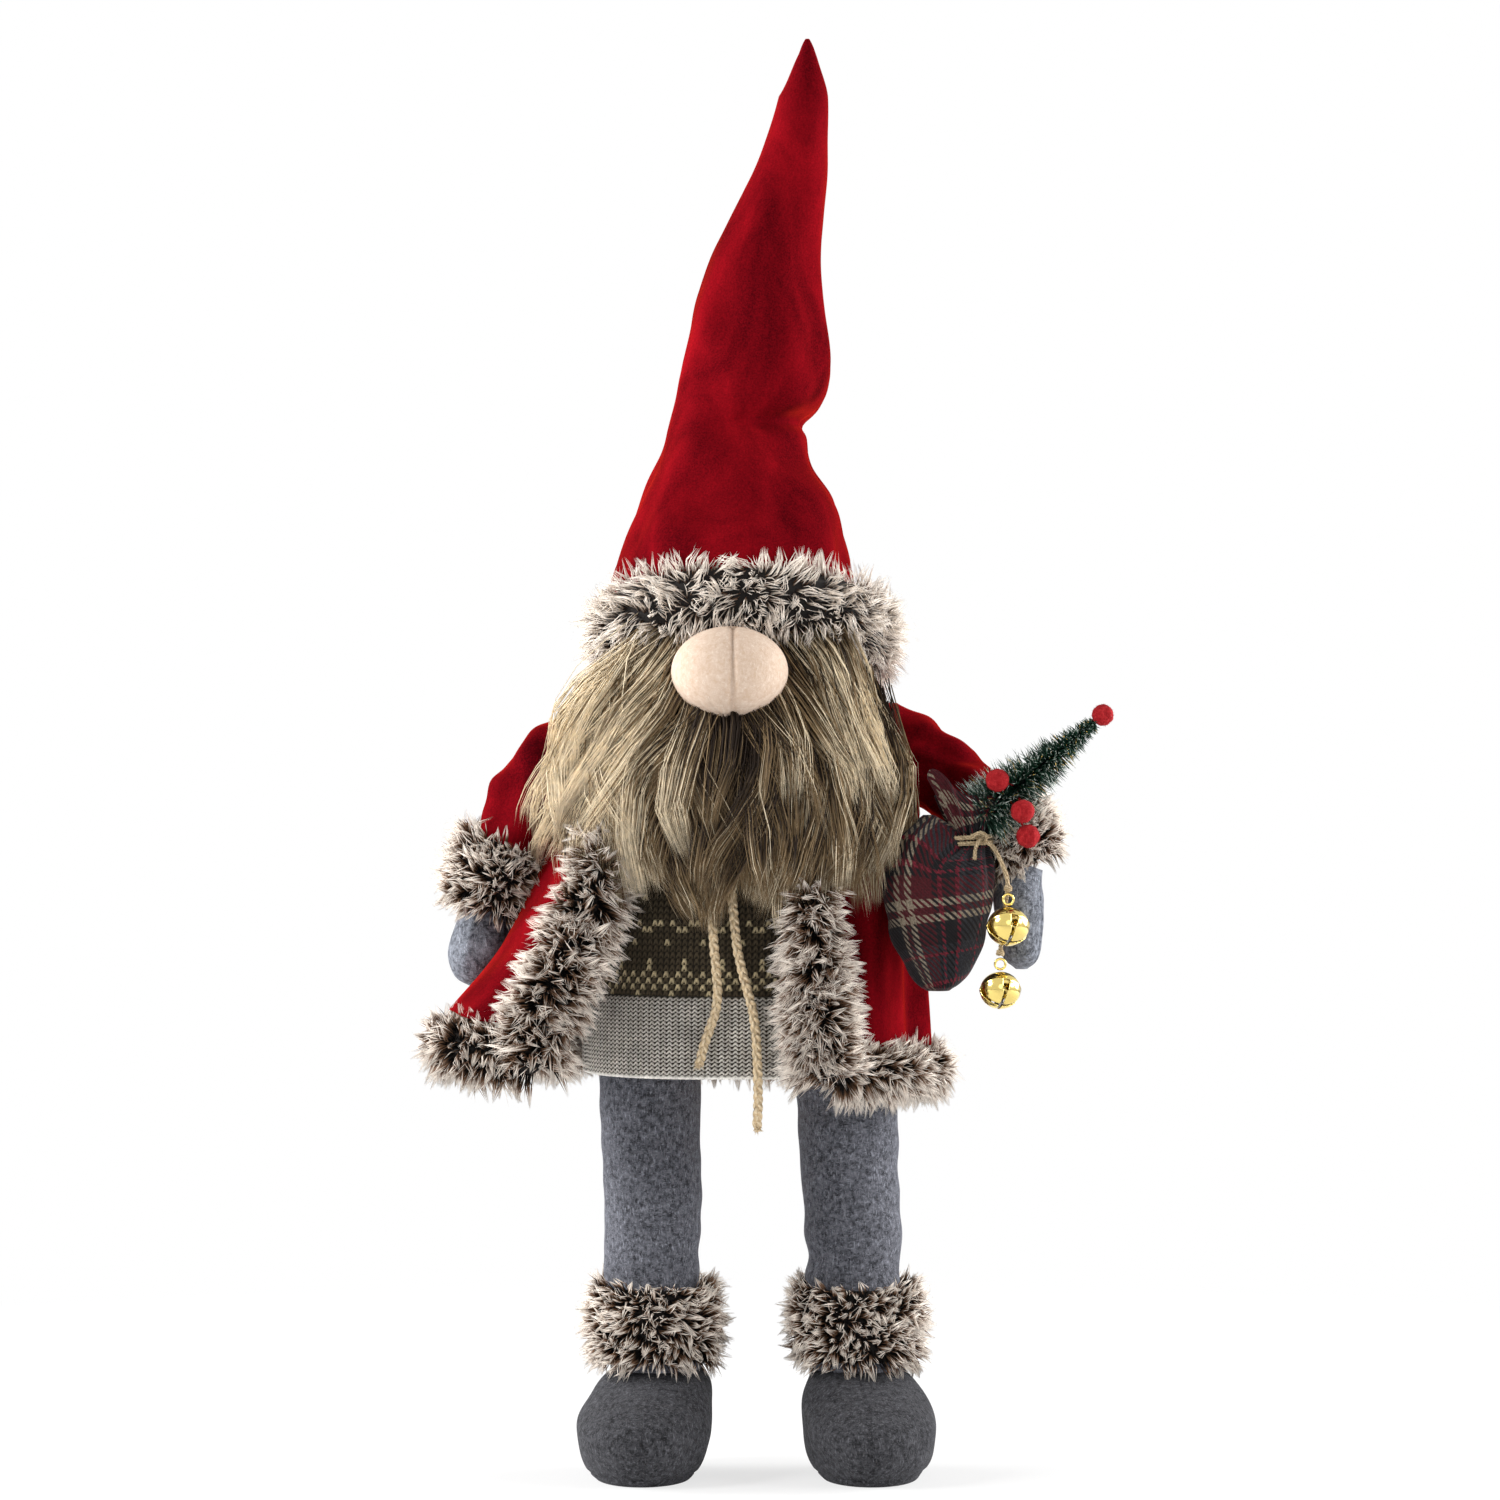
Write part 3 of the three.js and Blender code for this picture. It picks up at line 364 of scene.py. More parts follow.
def read_value(tree, name):
    return add_node(tree, "ShaderNodeAttribute", attribute_name=name).outputs["Fac"]


def noise(tree, place, size_mm, detail=3.0, roughness=0.55):
    """Noise whose features are about size_mm across."""
    scale = 1 / (size_mm * MM)
    inputs = {"Vector": place, "Scale": scale, "Detail": detail, "Roughness": roughness}
    return add_node(tree, "ShaderNodeTexNoise", inputs).outputs[0]


def object_place(tree, stretch=(1.0, 1.0, 1.0)):
    place = add_node(tree, "ShaderNodeTexCoord").outputs["Object"]
    return add_node(tree, "ShaderNodeMapping", {"Vector": place, "Scale": stretch}).outputs[0]


def srgb(red, green, blue):
    """A colour of 0 to 255 as the linear values that a shader takes."""
    def linear(c):
        return c / 255 / 12.92 if c < 10 else ((c / 255 + 0.055) / 1.055) ** 2.4

    return (*map(linear, (red, green, blue)), 1.0)


def new_group(name, inputs, outputs):
    """An empty shader group with named sockets."""
    group = bpy.data.node_groups.new(name, "ShaderNodeTree")
    for title, kind, default in inputs:
        socket = group.interface.new_socket(name=title, in_out="INPUT", socket_type=kind)
        if default is not None:
            socket.default_value = default
    for title, kind in outputs:
        group.interface.new_socket(name=title, in_out="OUTPUT", socket_type=kind)
    return group, group.nodes.new("NodeGroupInput").outputs, group.nodes.new("NodeGroupOutput")


COLOR, NUMBER = "NodeSocketColor", "NodeSocketFloat"


def fibre_group():
    """Felted cloth: cloudy patches of two tones, crossed by pale fibres a millimetre apart."""
    group, given, result = new_group(
        "Felted fibres",
        [("Ground", COLOR, (0.1, 0.1, 0.1, 1)), ("Fibre", COLOR, (0.4, 0.4, 0.4, 1)),
         ("Patch", NUMBER, 0.5), ("Hairs", NUMBER, 0.5)],
        [("Color", COLOR), ("Height", NUMBER)],
    )
    place = object_place(group)
    cloud = span(group, noise(group, place, 3.2, 5, 0.75), 0.38, 0.66)
    along = noise(group, object_place(group, (1.0, 1.0, 0.3)), 1.1, 4, 0.6)
    across = noise(group, object_place(group, (0.3, 1.0, 1.3)), 1.0, 4, 0.6)
    along, across = span(group, along, 0.55, 0.7), span(group, across, 0.57, 0.72)
    hairs = math_node(group, "MAXIMUM", along, across)
    patches = math_node(group, "MULTIPLY", cloud, given["Patch"])
    lines = math_node(group, "MULTIPLY", hairs, given["Hairs"])
    share = math_node(group, "ADD", patches, lines, clamp=True)
    color = blend_colors(group, share, given["Ground"], given["Fibre"])
    fine = noise(group, place, 0.7, 3, 0.6)
    height = math_node(group, "ADD", fine, math_node(group, "MULTIPLY", hairs, 0.6))
    feed(group, result, {"Color": color, "Height": height})
    return group


def strand_group():
    """Hair: three colours from root to tip, shifted by each strand's own tint."""
    group, given, result = new_group(
        "Hair strands",
        [("Root", COLOR, (0.05, 0.03, 0.02, 1)), ("Middle", COLOR, (0.3, 0.2, 0.15, 1)),
         ("Tip", COLOR, (0.8, 0.7, 0.6, 1)), ("Turn to middle", NUMBER, 0.35),
         ("Turn to tip", NUMBER, 0.7), ("Spread", NUMBER, 0.3)],
        [("Color", COLOR), ("Height", NUMBER)],
    )
    along, tint = read_value(group, "along"), read_value(group, "tint")
    shift = math_node(group, "MULTIPLY", math_node(group, "SUBTRACT", tint, 0.5), given["Spread"])
    at = math_node(group, "ADD", along, shift)

    def step(middle):
        low = math_node(group, "SUBTRACT", middle, 0.13)
        high = math_node(group, "ADD", middle, 0.13)
        return span(group, at, low, high)

    color = blend_colors(group, step(given["Turn to middle"]), given["Root"], given["Middle"])
    color = blend_colors(group, step(given["Turn to tip"]), color, given["Tip"])
    shade = span(group, noise(group, object_place(group), 5, 3), 0.3, 0.7, 0.72, 1.12)
    height = noise(group, object_place(group), 0.6, 2)
    feed(group, result, {"Color": shaded(group, color, shade), "Height": height})
    return group


def nap_group():
    """Velvet pile: broad brushed patches and fine speckle that change how deep it looks."""
    group, given, result = new_group(
        "Velvet nap",
        [("Deep", COLOR, (0.2, 0, 0, 1)), ("Bright", COLOR, (0.6, 0.01, 0.01, 1)),
         ("Brush size", NUMBER, 25.0)],
        [("Color", COLOR), ("Height", NUMBER), ("Roughness", NUMBER)],
    )
    place = object_place(group, (1.0, 1.0, 0.45))
    scale = math_node(group, "DIVIDE", 1 / MM, given["Brush size"])
    inputs = {"Vector": place, "Scale": scale, "Detail": 4.0, "Roughness": 0.55, "Distortion": 0.6}
    brushed = add_node(group, "ShaderNodeTexNoise", inputs).outputs[0]
    grain = noise(group, object_place(group), 1.1, 3, 0.7)
    lie = span(group, brushed, 0.3, 0.72, 0.0, 0.7)
    speckle = span(group, grain, 0.35, 0.75, -0.1, 0.35)
    share = math_node(group, "ADD", lie, speckle, clamp=True)
    color = blend_colors(group, share, given["Deep"], given["Bright"])
    roughness = span(group, brushed, 0.3, 0.7, 0.85, 0.68)
    feed(group, result, {"Color": color, "Height": grain, "Roughness": roughness})
    return group


def yarn_group():
    """Spun yarn: two tones in fine slanting fibres along the strand, read from its own map."""
    group, given, result = new_group(
        "Spun yarn",
        [("Pale", COLOR, (0.7, 0.6, 0.4, 1)), ("Dark", COLOR, (0.4, 0.3, 0.2, 1))],
        [("Color", COLOR), ("Height", NUMBER)],
    )
    place = add_node(group, "ShaderNodeUVMap", uv_map="cloth").outputs[0]
    parts = add_node(group, "ShaderNodeSeparateXYZ", {0: place}).outputs
    slant = math_node(group, "ADD", parts[0], parts[1])
    wave = math_node(group, "SINE", math_node(group, "MULTIPLY", slant, TURN * 2.2))
    fuzz = noise(group, object_place(group), 0.9, 4, 0.7)
    ridge, speckle = span(group, wave, -1, 1, 0.0, 0.55), span(group, fuzz, 0.35, 0.7, 0.0, 0.5)
    share = math_node(group, "ADD", ridge, speckle, clamp=True)
    color = blend_colors(group, share, given["Dark"], given["Pale"])
    feed(group, result, {"Color": color, "Height": math_node(group, "ADD", wave, fuzz)})
    return group


made = {}


def once(key, make, *values):
    """What make gives for the values, made on first use and kept under the key."""
    if key not in made:
        made[key] = make(*values)
    return made[key]


def finish(name):
    """The material of that name."""
    make, *values = FINISHES[name]
    return once(name, make, name, *values)


def bare_material(name, roughness, sheen=0.0, sheen_color=(1, 1, 1, 1), **constants):
    """A material whose Principled shader has its constants set, with its tree and shader."""
    material = bpy.data.materials.new(name)
    material.use_nodes = True
    tree = material.node_tree
    shader = tree.nodes["Principled BSDF"]
    inputs = {"Roughness": roughness, "Sheen Weight": sheen, "Sheen Tint": sheen_color,
              "Specular IOR Level": 0.25}
    inputs.update({key.replace("_", " "): value for key, value in constants.items()})
    return material, tree, feed(tree, shader, inputs)


def lay(tree, shader, color, height, depth_mm, strength=1.0):
    """Links the shader's colour, and a bump that is depth_mm deep."""
    inputs = {"Height": height, "Distance": depth_mm * MM, "Strength": strength}
    normal = add_node(tree, "ShaderNodeBump", inputs).outputs[0]
    feed(tree, shader, {"Base Color": color, "Normal": normal})


def use_group(tree, make, **inputs):
    """The outputs of a shared group's node. Underscores stand for the spaces in its inputs."""
    node = add_node(tree, "ShaderNodeGroup", node_tree=once(make, make))
    return feed(tree, node, {key.replace("_", " "): value for key, value in inputs.items()}).outputs


def felt(name, ground, fibre, patch, hairs, depth, fuzz):
    material, tree, shader = bare_material(name, 0.95, fuzz, fibre)
    out = use_group(tree, fibre_group, Ground=ground, Fibre=fibre, Patch=patch, Hairs=hairs)
    lay(tree, shader, out["Color"], out["Height"], depth)
    return material


def hair(name, kind, to_middle, to_tip, spread):
    material, tree, shader = bare_material(name, 0.72)
    root, middle, tip = picked(f"{kind}_root", f"{kind}_middle", f"{kind}_tip")
    out = use_group(tree, strand_group, Root=root, Middle=middle, Tip=tip,
                    Turn_to_middle=to_middle, Turn_to_tip=to_tip, Spread=spread)
    lay(tree, shader, out["Color"], out["Height"], 0.15)
    return material


def velvet(name, glow):
    constants = {"Specular_IOR_Level": 0.0, "Sheen_Roughness": 0.3}
    material, tree, shader = bare_material(name, 0.8, 0.8, glow, **constants)
    deep, bright = picked("velvet_deep", "velvet_bright")
    out = use_group(tree, nap_group, Deep=deep, Bright=bright, Brush_size=40.0)
    feed(tree, shader, {"Roughness": out["Roughness"]})
    lay(tree, shader, out["Color"], out["Height"], 0.25, 0.7)
    return material


def yarn(name, pale, dark, depth):
    material, tree, shader = bare_material(name, 0.9, 0.15, pale)
    out = use_group(tree, yarn_group, Pale=pale, Dark=dark)
    lay(tree, shader, out["Color"], out["Height"], depth)
    return material


def dress_node(name, finish_name):
    """Gives a CAD solid that keeps its shape a finish."""
    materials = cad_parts[name].data.materials
    materials.clear()
    materials.append(finish(finish_name))


def picked(*names):
    """Colours as the add-on's panel has them."""
    looks = bpy.context.scene.gnome_looks
    return [(*getattr(looks, name), 1) for name in names]


PLAID_REPEAT = 78.0
WEFT_SHIFT = 95.0


def knit(name, ground, motif, groove_shade):
    """Knitted yarn: two yarns chosen by the piece's own motif value, with painted shade between
    stitches, laid as a dark colour where the relief is low.
    """
    material, tree, shader = bare_material(name, 0.95, 0.1, motif)
    fuzz = noise(tree, object_place(tree), 0.8, 4, 0.7)
    worn = span(tree, noise(tree, object_place(tree), 9, 3), 0.3, 0.7, 0.75, 1.15)
    color = blend_colors(tree, read_value(tree, "motif"), ground, motif)
    # Painted shade: the dark groove colour is laid where the stitches' relief is low, standing for
    # the shade between them.
    color = blend_colors(tree, span(tree, read_value(tree, "relief"), 0.1, 0.75), groove_shade, color)
    tone = math_node(tree, "MULTIPLY", span(tree, fuzz, 0.3, 0.7, 0.6, 1.25), worn)
    lay(tree, shader, shaded(tree, color, tone), fuzz, 0.3)
    return material


def plaid(name):
    """Woven plaid on the sack's own map, in millimetres of cloth: bands and fine lines of
    coloured threads both ways, crossed as a slanting twill."""
    material, tree, shader = bare_material(name, 0.95, 0.06)
    place = add_node(tree, "ShaderNodeUVMap", uv_map="cloth").outputs[0]
    parts = add_node(tree, "ShaderNodeSeparateXYZ", {0: place}).outputs

    def stripe(run, middle, half):
        """1 where the thread lies within half a width of a place in each repeat."""
        off = math_node(tree, "SUBTRACT", run, middle)
        inputs = {0: off, 1: PLAID_REPEAT / 2, 2: -PLAID_REPEAT / 2}
        at = add_node(tree, "ShaderNodeMath", inputs, operation="WRAP").outputs[0]
        return span(tree, math_node(tree, "ABSOLUTE", at), half + 0.3, half - 0.3)

    def threads(run):
        color = blend_colors(tree, stripe(run, 176, 13), srgb(90, 16, 28), srgb(56, 56, 63))
        rose, pale = srgb(138, 34, 54), srgb(178, 162, 140)
        for middle, half, shade in (
            (155.5, 8, srgb(20, 17, 22)), (196, 6, srgb(24, 20, 26)), (152.0, 1.2, rose),
            (162.6, 1.3, rose), (180, 0.8, srgb(150, 40, 60)), (124.4, 2.3, pale),
            (133.3, 2.3, pale), (112, 4.0, srgb(26, 20, 26)),
        ):
            color = blend_colors(tree, stripe(run, middle, half), color, shade)
        return color

    warp, weft = threads(parts[0]), threads(math_node(tree, "ADD", parts[1], WEFT_SHIFT))
    slant = math_node(tree, "MULTIPLY", math_node(tree, "ADD", parts[0], parts[1]), TURN / 4.2)
    over = span(tree, math_node(tree, "SINE", slant), -0.15, 0.15, 0.0, 1.0)
    fuzz = noise(tree, object_place(tree), 1.0, 4, 0.7)
    color = blend_colors(tree, over, warp, weft)
    color = shaded(tree, color, span(tree, fuzz, 0.3, 0.7, 0.1, 0.72))
    lay(tree, shader, color, math_node(tree, "ADD", over, fuzz), 0.3)
    return material


def bristle(name):
    """Dark green bristle whose outer part is dusted with white frost."""
    material, tree, shader = bare_material(name, 0.6)
    along, tint = read_value(tree, "along"), read_value(tree, "tint")
    greens = [(0.0, srgb(8, 32, 22)), (0.6, srgb(18, 58, 42)), (1.0, srgb(44, 88, 66))]
    green = ramp(tree, tint, greens)
    start = span(tree, tint, 0.0, 1.0, 0.92, 0.52)
    frost = span(tree, math_node(tree, "SUBTRACT", along, start), 0.0, 0.2)
    speck = span(tree, noise(tree, object_place(tree), 1.4, 3), 0.42, 0.56)
    frost = math_node(tree, "MULTIPLY", frost, speck)
    feed(tree, shader, {"Base Color": blend_colors(tree, frost, green, srgb(226, 234, 226))})
    return material


def metal(name, color, roughness, wear):
    """Metal with fine scratches and small dull spots."""
    constants = {"Metallic": 1.0, "Specular_IOR_Level": 0.5}
    material, tree, shader = bare_material(name, roughness, **constants)
    spots = span(tree, noise(tree, object_place(tree), 4, 4, 0.6), 0.45, 0.75)
    scratches = noise(tree, object_place(tree, (1.0, 6.0, 1.0)), 2.2, 4, 0.7)
    dull = (*(c * 0.62 for c in color[:3]), 1.0)
    color = blend_colors(tree, math_node(tree, "MULTIPLY", spots, wear), color, dull)
    gloss = span(tree, scratches, 0.35, 0.7, roughness * 0.75, roughness * 1.5)
    feed(tree, shader, {"Roughness": gloss})
    lay(tree, shader, color, scratches, 0.02, 0.5)
    return material


def wood(name):
    """Plain sawn wood: stretched growth rings and fine pores."""
    material, tree, shader = bare_material(name, 0.65)
    rings = noise(tree, object_place(tree, (0.12, 1.0, 1.0)), 9, 5, 0.6)
    pores = noise(tree, object_place(tree, (0.1, 1.0, 1.0)), 1.2, 3)
    stops = [(0.3, srgb(206, 172, 122)), (0.5, srgb(186, 148, 98)), (0.7, srgb(160, 120, 74))]
    lay(tree, shader, ramp(tree, rings, stops), pores, 0.1)
    return material


def cast_iron(name):
    """Rough cast iron with a little rust in its hollows."""
    material, tree, shader = bare_material(name, 0.6, Metallic=1.0)
    rough = noise(tree, object_place(tree), 2.4, 5, 0.7)
    stops = [(0.35, srgb(74, 48, 36)), (0.5, srgb(62, 60, 60)), (0.75, srgb(92, 92, 94))]
    lay(tree, shader, ramp(tree, rough, stops), rough, 0.5)
    return material


# How each finish is made: felts by ground, fibre, share of patches, share of hairs, depth in
# millimetres and fuzz; knits by ground, motif and the colour of the painted shade between
# stitches; yarns by pale, dark and depth; metals by colour, roughness and wear; hair by its
# colours in the panel, the shares of its length where they change, and how much strands differ
FINISHES = {
    "boot_felt": (felt, srgb(13, 13, 16), srgb(120, 120, 126), 0.36, 0.5, 0.5, 0.25),
    "leg_felt": (felt, srgb(32, 33, 38), srgb(168, 170, 182), 0.4, 0.5, 0.5, 0.4),
    "mitten_felt": (felt, srgb(44, 47, 54), srgb(186, 191, 203), 0.5, 0.45, 0.5, 0.3),
    "nose_felt": (felt, srgb(202, 175, 152), srgb(237, 225, 213), 0.4, 0.35, 0.2, 0.12),
    "head_felt": (felt, srgb(44, 34, 26), srgb(104, 84, 64), 0.4, 0.5, 0.4, 0.12),
    "berry_felt": (felt, srgb(134, 4, 14), srgb(204, 50, 54), 0.45, 0.5, 0.3, 0.12),
    "loose_stuffing": (felt, srgb(226, 222, 214), srgb(250, 249, 246), 0.6, 0.5, 0.8, 0.12),
    # The third colour of each knit is painted shade between its stitches.
    "snow_knit": (knit, srgb(80, 70, 54), srgb(214, 196, 156), srgb(26, 21, 14)),
    "band_knit": (knit, srgb(196, 188, 176), srgb(244, 240, 232), srgb(52, 45, 37)),
    "cotton_cord": (yarn, srgb(238, 220, 188), srgb(198, 170, 130), 0.3),
    "jute_twine": (yarn, srgb(226, 206, 170), srgb(150, 122, 86), 0.35),
    "bell_brass": (metal, srgb(226, 202, 120), 0.12, 0.25),
    "pellet_steel": (metal, srgb(150, 148, 145), 0.35, 0.4),
    "spring_steel": (metal, srgb(150, 150, 154), 0.32, 0.4),
    "gold_thread": (metal, srgb(214, 176, 96), 0.35, 0.4),
    "frosted_fur": (hair, "fur", 0.34, 0.62, 0.5),
    "beard_hair": (hair, "beard", 0.12, 0.66, 1.3),
    "red_velvet": (velvet, srgb(255, 60, 36)),
    "plaid_weave": (plaid,),
    "frosted_bristle": (bristle,),
    "board_wood": (wood,),
    "cast_iron": (cast_iron,),
}


# Hair: closed three-sided strands that share a few shapes of growth


FUR_LEVELS = 3
FUR_WIDTHS = (0.26, 0.46)


def strand_surface(paths, half_width):
    """Hairs with a triangle for a section, narrowing to a point: radius w (1 - s^3)."""
    count, levels = paths.shape[:2]
    tangents = unit(np.gradient(paths, axis=1))
    sides = unit(np.cross(tangents, [0.31, 0.52, 0.8]))
    ups = np.cross(tangents, sides)
    share = np.linspace(0, 1, levels)[:-1]
    radius = np.broadcast_to(half_width, count)[:, None] * (1 - share**3)
    corner = circle(3)[:, None]
    spread = sides[:, :-1, None] * np.cos(corner) + ups[:, :-1, None] * np.sin(corner)
    rings = paths[:, :-1, None] + spread * radius[..., None, None]
    points = np.concatenate([rings.reshape(count, -1, 3), paths[:, -1:]], 1)
    each = points.shape[1]
    first = each * np.arange(count)[:, None, None]
    quads = grid_faces(levels - 1, 3)
    c = np.arange(3)
    tip = beside(3 * (levels - 2) + c, 3 * (levels - 2) + (c + 1) % 3, each - 1)
    ends = np.vstack([tip, [[0, 2, 1]]])
    faces = [(quads[None] + first).reshape(-1, 4), (ends[None] + first).reshape(-1, 3)]
    along = np.append(np.repeat(share, 3), 1.0)
    return (points.reshape(-1, 3), faces), np.tile(along, count), each


def scatter(rings, count, draw, looped=False):
    """Roots spread evenly by area over a grid of rings, with the normals that face away."""
    grid = np.concatenate([rings, rings[:, :1]], 1)
    grid = np.concatenate([grid, grid[:1]], 0) if looped else grid
    a, b, c, d = grid[:-1, :-1], grid[:-1, 1:], grid[1:, :-1], grid[1:, 1:]
    normals = np.cross(d - a, b - c).reshape(-1, 3)
    size = np.linalg.norm(normals, axis=1)
    pick = draw.choice(len(size), count, p=size / size.sum())
    u, v = draw.random((2, count, 1))
    a, b, c, d = (corner.reshape(-1, 3)[pick] for corner in (a, b, c, d))
    roots = mix(mix(a, b, u), mix(c, d, u), v)
    return roots, unit(normals[pick])


def faced(normals, roots, middles):
    """Normals turned so that they point away from the nearest middle."""
    away = np.einsum("ij,ij->i", normals, roots - middles)
    return normals * np.where(away < 0, -1, 1)[:, None]


def nearest(points, heads):
    """The index of the head that each point is closest to."""
    parts = np.array_split(points, 40)
    return np.concatenate([np.argmin(((part[:, None] - heads) ** 2).sum(-1), 1) for part in parts])


def tufted(roots, normals, draw, length, tufts, comb=(0, 0, 0), pull=0.95, droop=0.1, sway=0.38):
    """Hairs root + aim * length * s, drawn to the tip of their tuft by pull * s^1.15, and bent
    down by droop * s^2. A broad random flow turns neighbouring tufts alike."""
    count = len(roots)
    flow = beside(*(ripple(*roots.T, 30, seed) for seed in (61, 62, 63)))
    base = unit(normals + np.asarray(comb) + sway * flow)
    aims = unit(base + 0.26 * draw.normal(size=(count, 3)))
    heads = draw.choice(count, tufts, replace=False)
    lead_aims = unit(base[heads] + 0.3 * draw.normal(size=(tufts, 3)))
    near = nearest(roots, roots[heads])
    tuft_length = length * draw.uniform(0.72, 1.12, tufts)[near]
    lengths = tuft_length * draw.uniform(0.72, 1.06, count)
    s = np.linspace(0, 1, FUR_LEVELS)[None, :, None]
    own = roots[:, None] + aims[:, None] * (lengths[:, None, None] * s)
    lead_reach = tuft_length[:, None, None] * s
    lead = roots[heads][near][:, None] + lead_aims[near][:, None] * lead_reach
    loose = np.where(draw.random((count, 1, 1)) < 0.14, 0.35, 1.0)
    paths = mix(own, lead, pull * loose * s**1.15)
    paths[..., 2] -= droop * length * s[..., 0] ** 2
    return paths, near


def furred(name, backing, paths, near, draw, body, node, tone=0.0):
    """Hair on a dark backing, standing for a CAD fur solid, with a tint for each tuft."""
    count = len(paths)
    width = draw.uniform(*FUR_WIDTHS, count)
    tint = tone + 0.5 * draw.random(near.max() + 1)[near] + 0.5 * draw.random(count)
    build = Build().add(backing, along=0.0, tint=0.2).add_hairs(paths, width, tint)
    build.piece(name, "frosted_fur", body, "fur", [node])


def fur_round(name, node, rings, seed, count, length, tufts, looped=False, tone=0.0, **growth):
    """Tufted hair all over a tube, or over a tube that closes on itself."""
    draw = np.random.default_rng(seed)
    roots, normals = scatter(rings, count, draw, looped)
    middles = rings.mean(1)
    centres = middles[nearest(roots, middles)]
    normals = faced(normals, roots, centres)
    paths, near = tufted(roots, normals, draw, length, tufts, **growth)
    around = [grid_faces(*rings.shape[:2], looped=True)]
    backing = (rings.reshape(-1, 3), around) if looped else closed_tube(rings)
    furred(name, backing, paths, near, draw, "torso", node, tone)


# The figure's own shapes


def leg_line(side):
    """The two ends of a leg's axis, from the boot's top to the board."""
    sleeve_low, sleeve_high = node_box(f"{side}_leg_sleeve")
    foot, top = LEG_X[side]
    return np.array([foot, LEG_Y, sleeve_low[2]]), np.array([top, LEG_Y, sleeve_high[2]])


def leg_at(side, z):
    """Middle and radius of the leg at heights z."""
    low, high = leg_line(side)
    t = (z - low[2]) / (high[2] - low[2])
    return low + (high - low) * t[:, None], mix(*LEG_RADII, t)


def torso_shrink(z):
    t = np.clip((z - BODY_LOW) / (BODY_TOP - BODY_LOW), 0, 1)
    return 1 - 0.08 * t - 0.36 * t**5


COAT_TOP, COAT_ROWS = 464.0, 90
COAT_TURNS = {"right": (-132.0, -78.25), "back": (-78.0, 78.0), "left": (78.25, 150.0)}


def coat_hem(turn):
    return 268 - 8 * np.sin(np.radians(turn)) + 8 * bump(turn, -112, 16)


def coat_point(turn, t, grow=0.0):
    """A point of the coat, whose reach from the body's middle depends on the turn about Z
    and the share t of its height. It flares, folds, and has a lobe at the right front."""
    turn, t = np.broadcast_arrays(np.asarray(turn, float), np.asarray(t, float))
    a, t0 = np.radians(turn), np.maximum(t, 0)
    drop = t0**1.6
    top = mix(58.0, 71.5, np.sin(a) ** 2)
    flare = (4.5 - 4.5 * np.sin(a) + np.where(np.cos(a) < 0, -11.5, 2.0) * np.cos(a)) * drop
    lobe = 75 * bump(turn, -118, 22) * t0**2.2 + 20 * bump(turn, -50, 22) * t0**2
    folds = 6 * drop * (0.5 + 0.5 * np.cos(14 * a))
    shoulder = 32 * (1 - (1 - np.minimum(1, t0 * 2.9)) ** 2.2)
    reach = top + shoulder + flare + lobe + folds + grow
    z = mix(COAT_TOP, coat_hem(turn), t)
    return beside(BODY_X + reach * np.sin(a), BODY_Y + reach * np.cos(a), z)


ARMS = {
    "right": dict(
        inwards=1, path=[(-92, 2, 446), (-116, 0, 424), (-137, -4, 396), (-151, -8, 366),
                         (-161, -10, 338)],
        radii=[22, 27, 28, 22, 18], creases=(1.0, 0.5, 0.4), swell=11, cuff_hair=17.0,
        hand=[(-161.4, -10, 337.2), (-166, -10, 322), (-168, -10, 308), (-170, -10, 297),
              (-170.5, -10, 292)],
        hand_radii=[14, 18, 19, 14, 4], flatten=1.15),
    "left": dict(
        inwards=-1, path=[(70, 2, 446), (97, -6, 425), (122, -22, 405), (145, -40, 385),
                          (156, -50, 366)],
        radii=[21, 24, 23, 18, 14.5], creases=(1.5, 1.6, 1.4), swell=9, cuff_hair=14.0,
        hand=[(156.2, -50.4, 365.1), (151, -52, 350), (152, -53, 330), (153, -53, 311),
              (153, -53, 304)],
        hand_radii=[11, 15, 14.5, 11, 4], flatten=1.5),
}


def arm_rings(arm, shares, columns, extra=0.0):
    """Rings square to the arm, held upright across Y as the CAD limb's are."""
    radius = through_values(arm["radii"], shares) + extra
    return held_rings(through(arm["path"], shares), radius, columns)


def held_rings(path, radius, columns, flatten=1.0):
    """Rings whose second axis stays along Y: middle + r cos a (t x Y) + f r sin a Y."""
    tangents = unit(np.gradient(path, axis=0))
    across = unit(np.cross(tangents, [0.0, 1.0, 0.0]))
    angle = circle(columns)[:, None]
    radius = np.broadcast_to(radius, len(path))[:, None, None]
    up = flatten * np.array([0.0, 1.0, 0.0])
    return path[:, None] + radius * (across[:, None] * np.cos(angle) + up * np.sin(angle))


def out_from(rings, offsets):
    """Rings moved away from their own middles by a grid of offsets."""
    middles = rings.mean(1, keepdims=True)
    return rings + unit(rings - middles) * offsets[..., None]


# Knitwear


STITCH_WIDE, STITCH_TALL = 3.6, 3.75
BAND_STITCH_TALL = 2.4
FRONT_REACH = 1.25


def round_body(z, outset, angles, tapered=True):
    """Rings of the body's oval. Angles run from the front, towards the figure's left."""
    shrink = torso_shrink(z)[:, None] if tapered else 1.0
    x = BODY_X + (BODY_WIDE * shrink + outset) * np.sin(angles)
    y = BODY_Y - (BODY_DEEP * shrink + outset) * np.cos(angles)
    return beside(x, y, z[:, None])


def dense_front(fine, coarse):
    """Angles round the body, close together over the part that shows at the front."""
    front = np.linspace(-FRONT_REACH, FRONT_REACH, fine)
    back = np.linspace(FRONT_REACH, TURN - FRONT_REACH, coarse + 2)[1:-1]
    return np.concatenate([front, back])


def stitch_cells(angles, rows):
    """How many stitches across and up each point is."""
    return np.broadcast_arrays(angles * BODY_WIDE * 0.93 / STITCH_WIDE, rows[:, None])


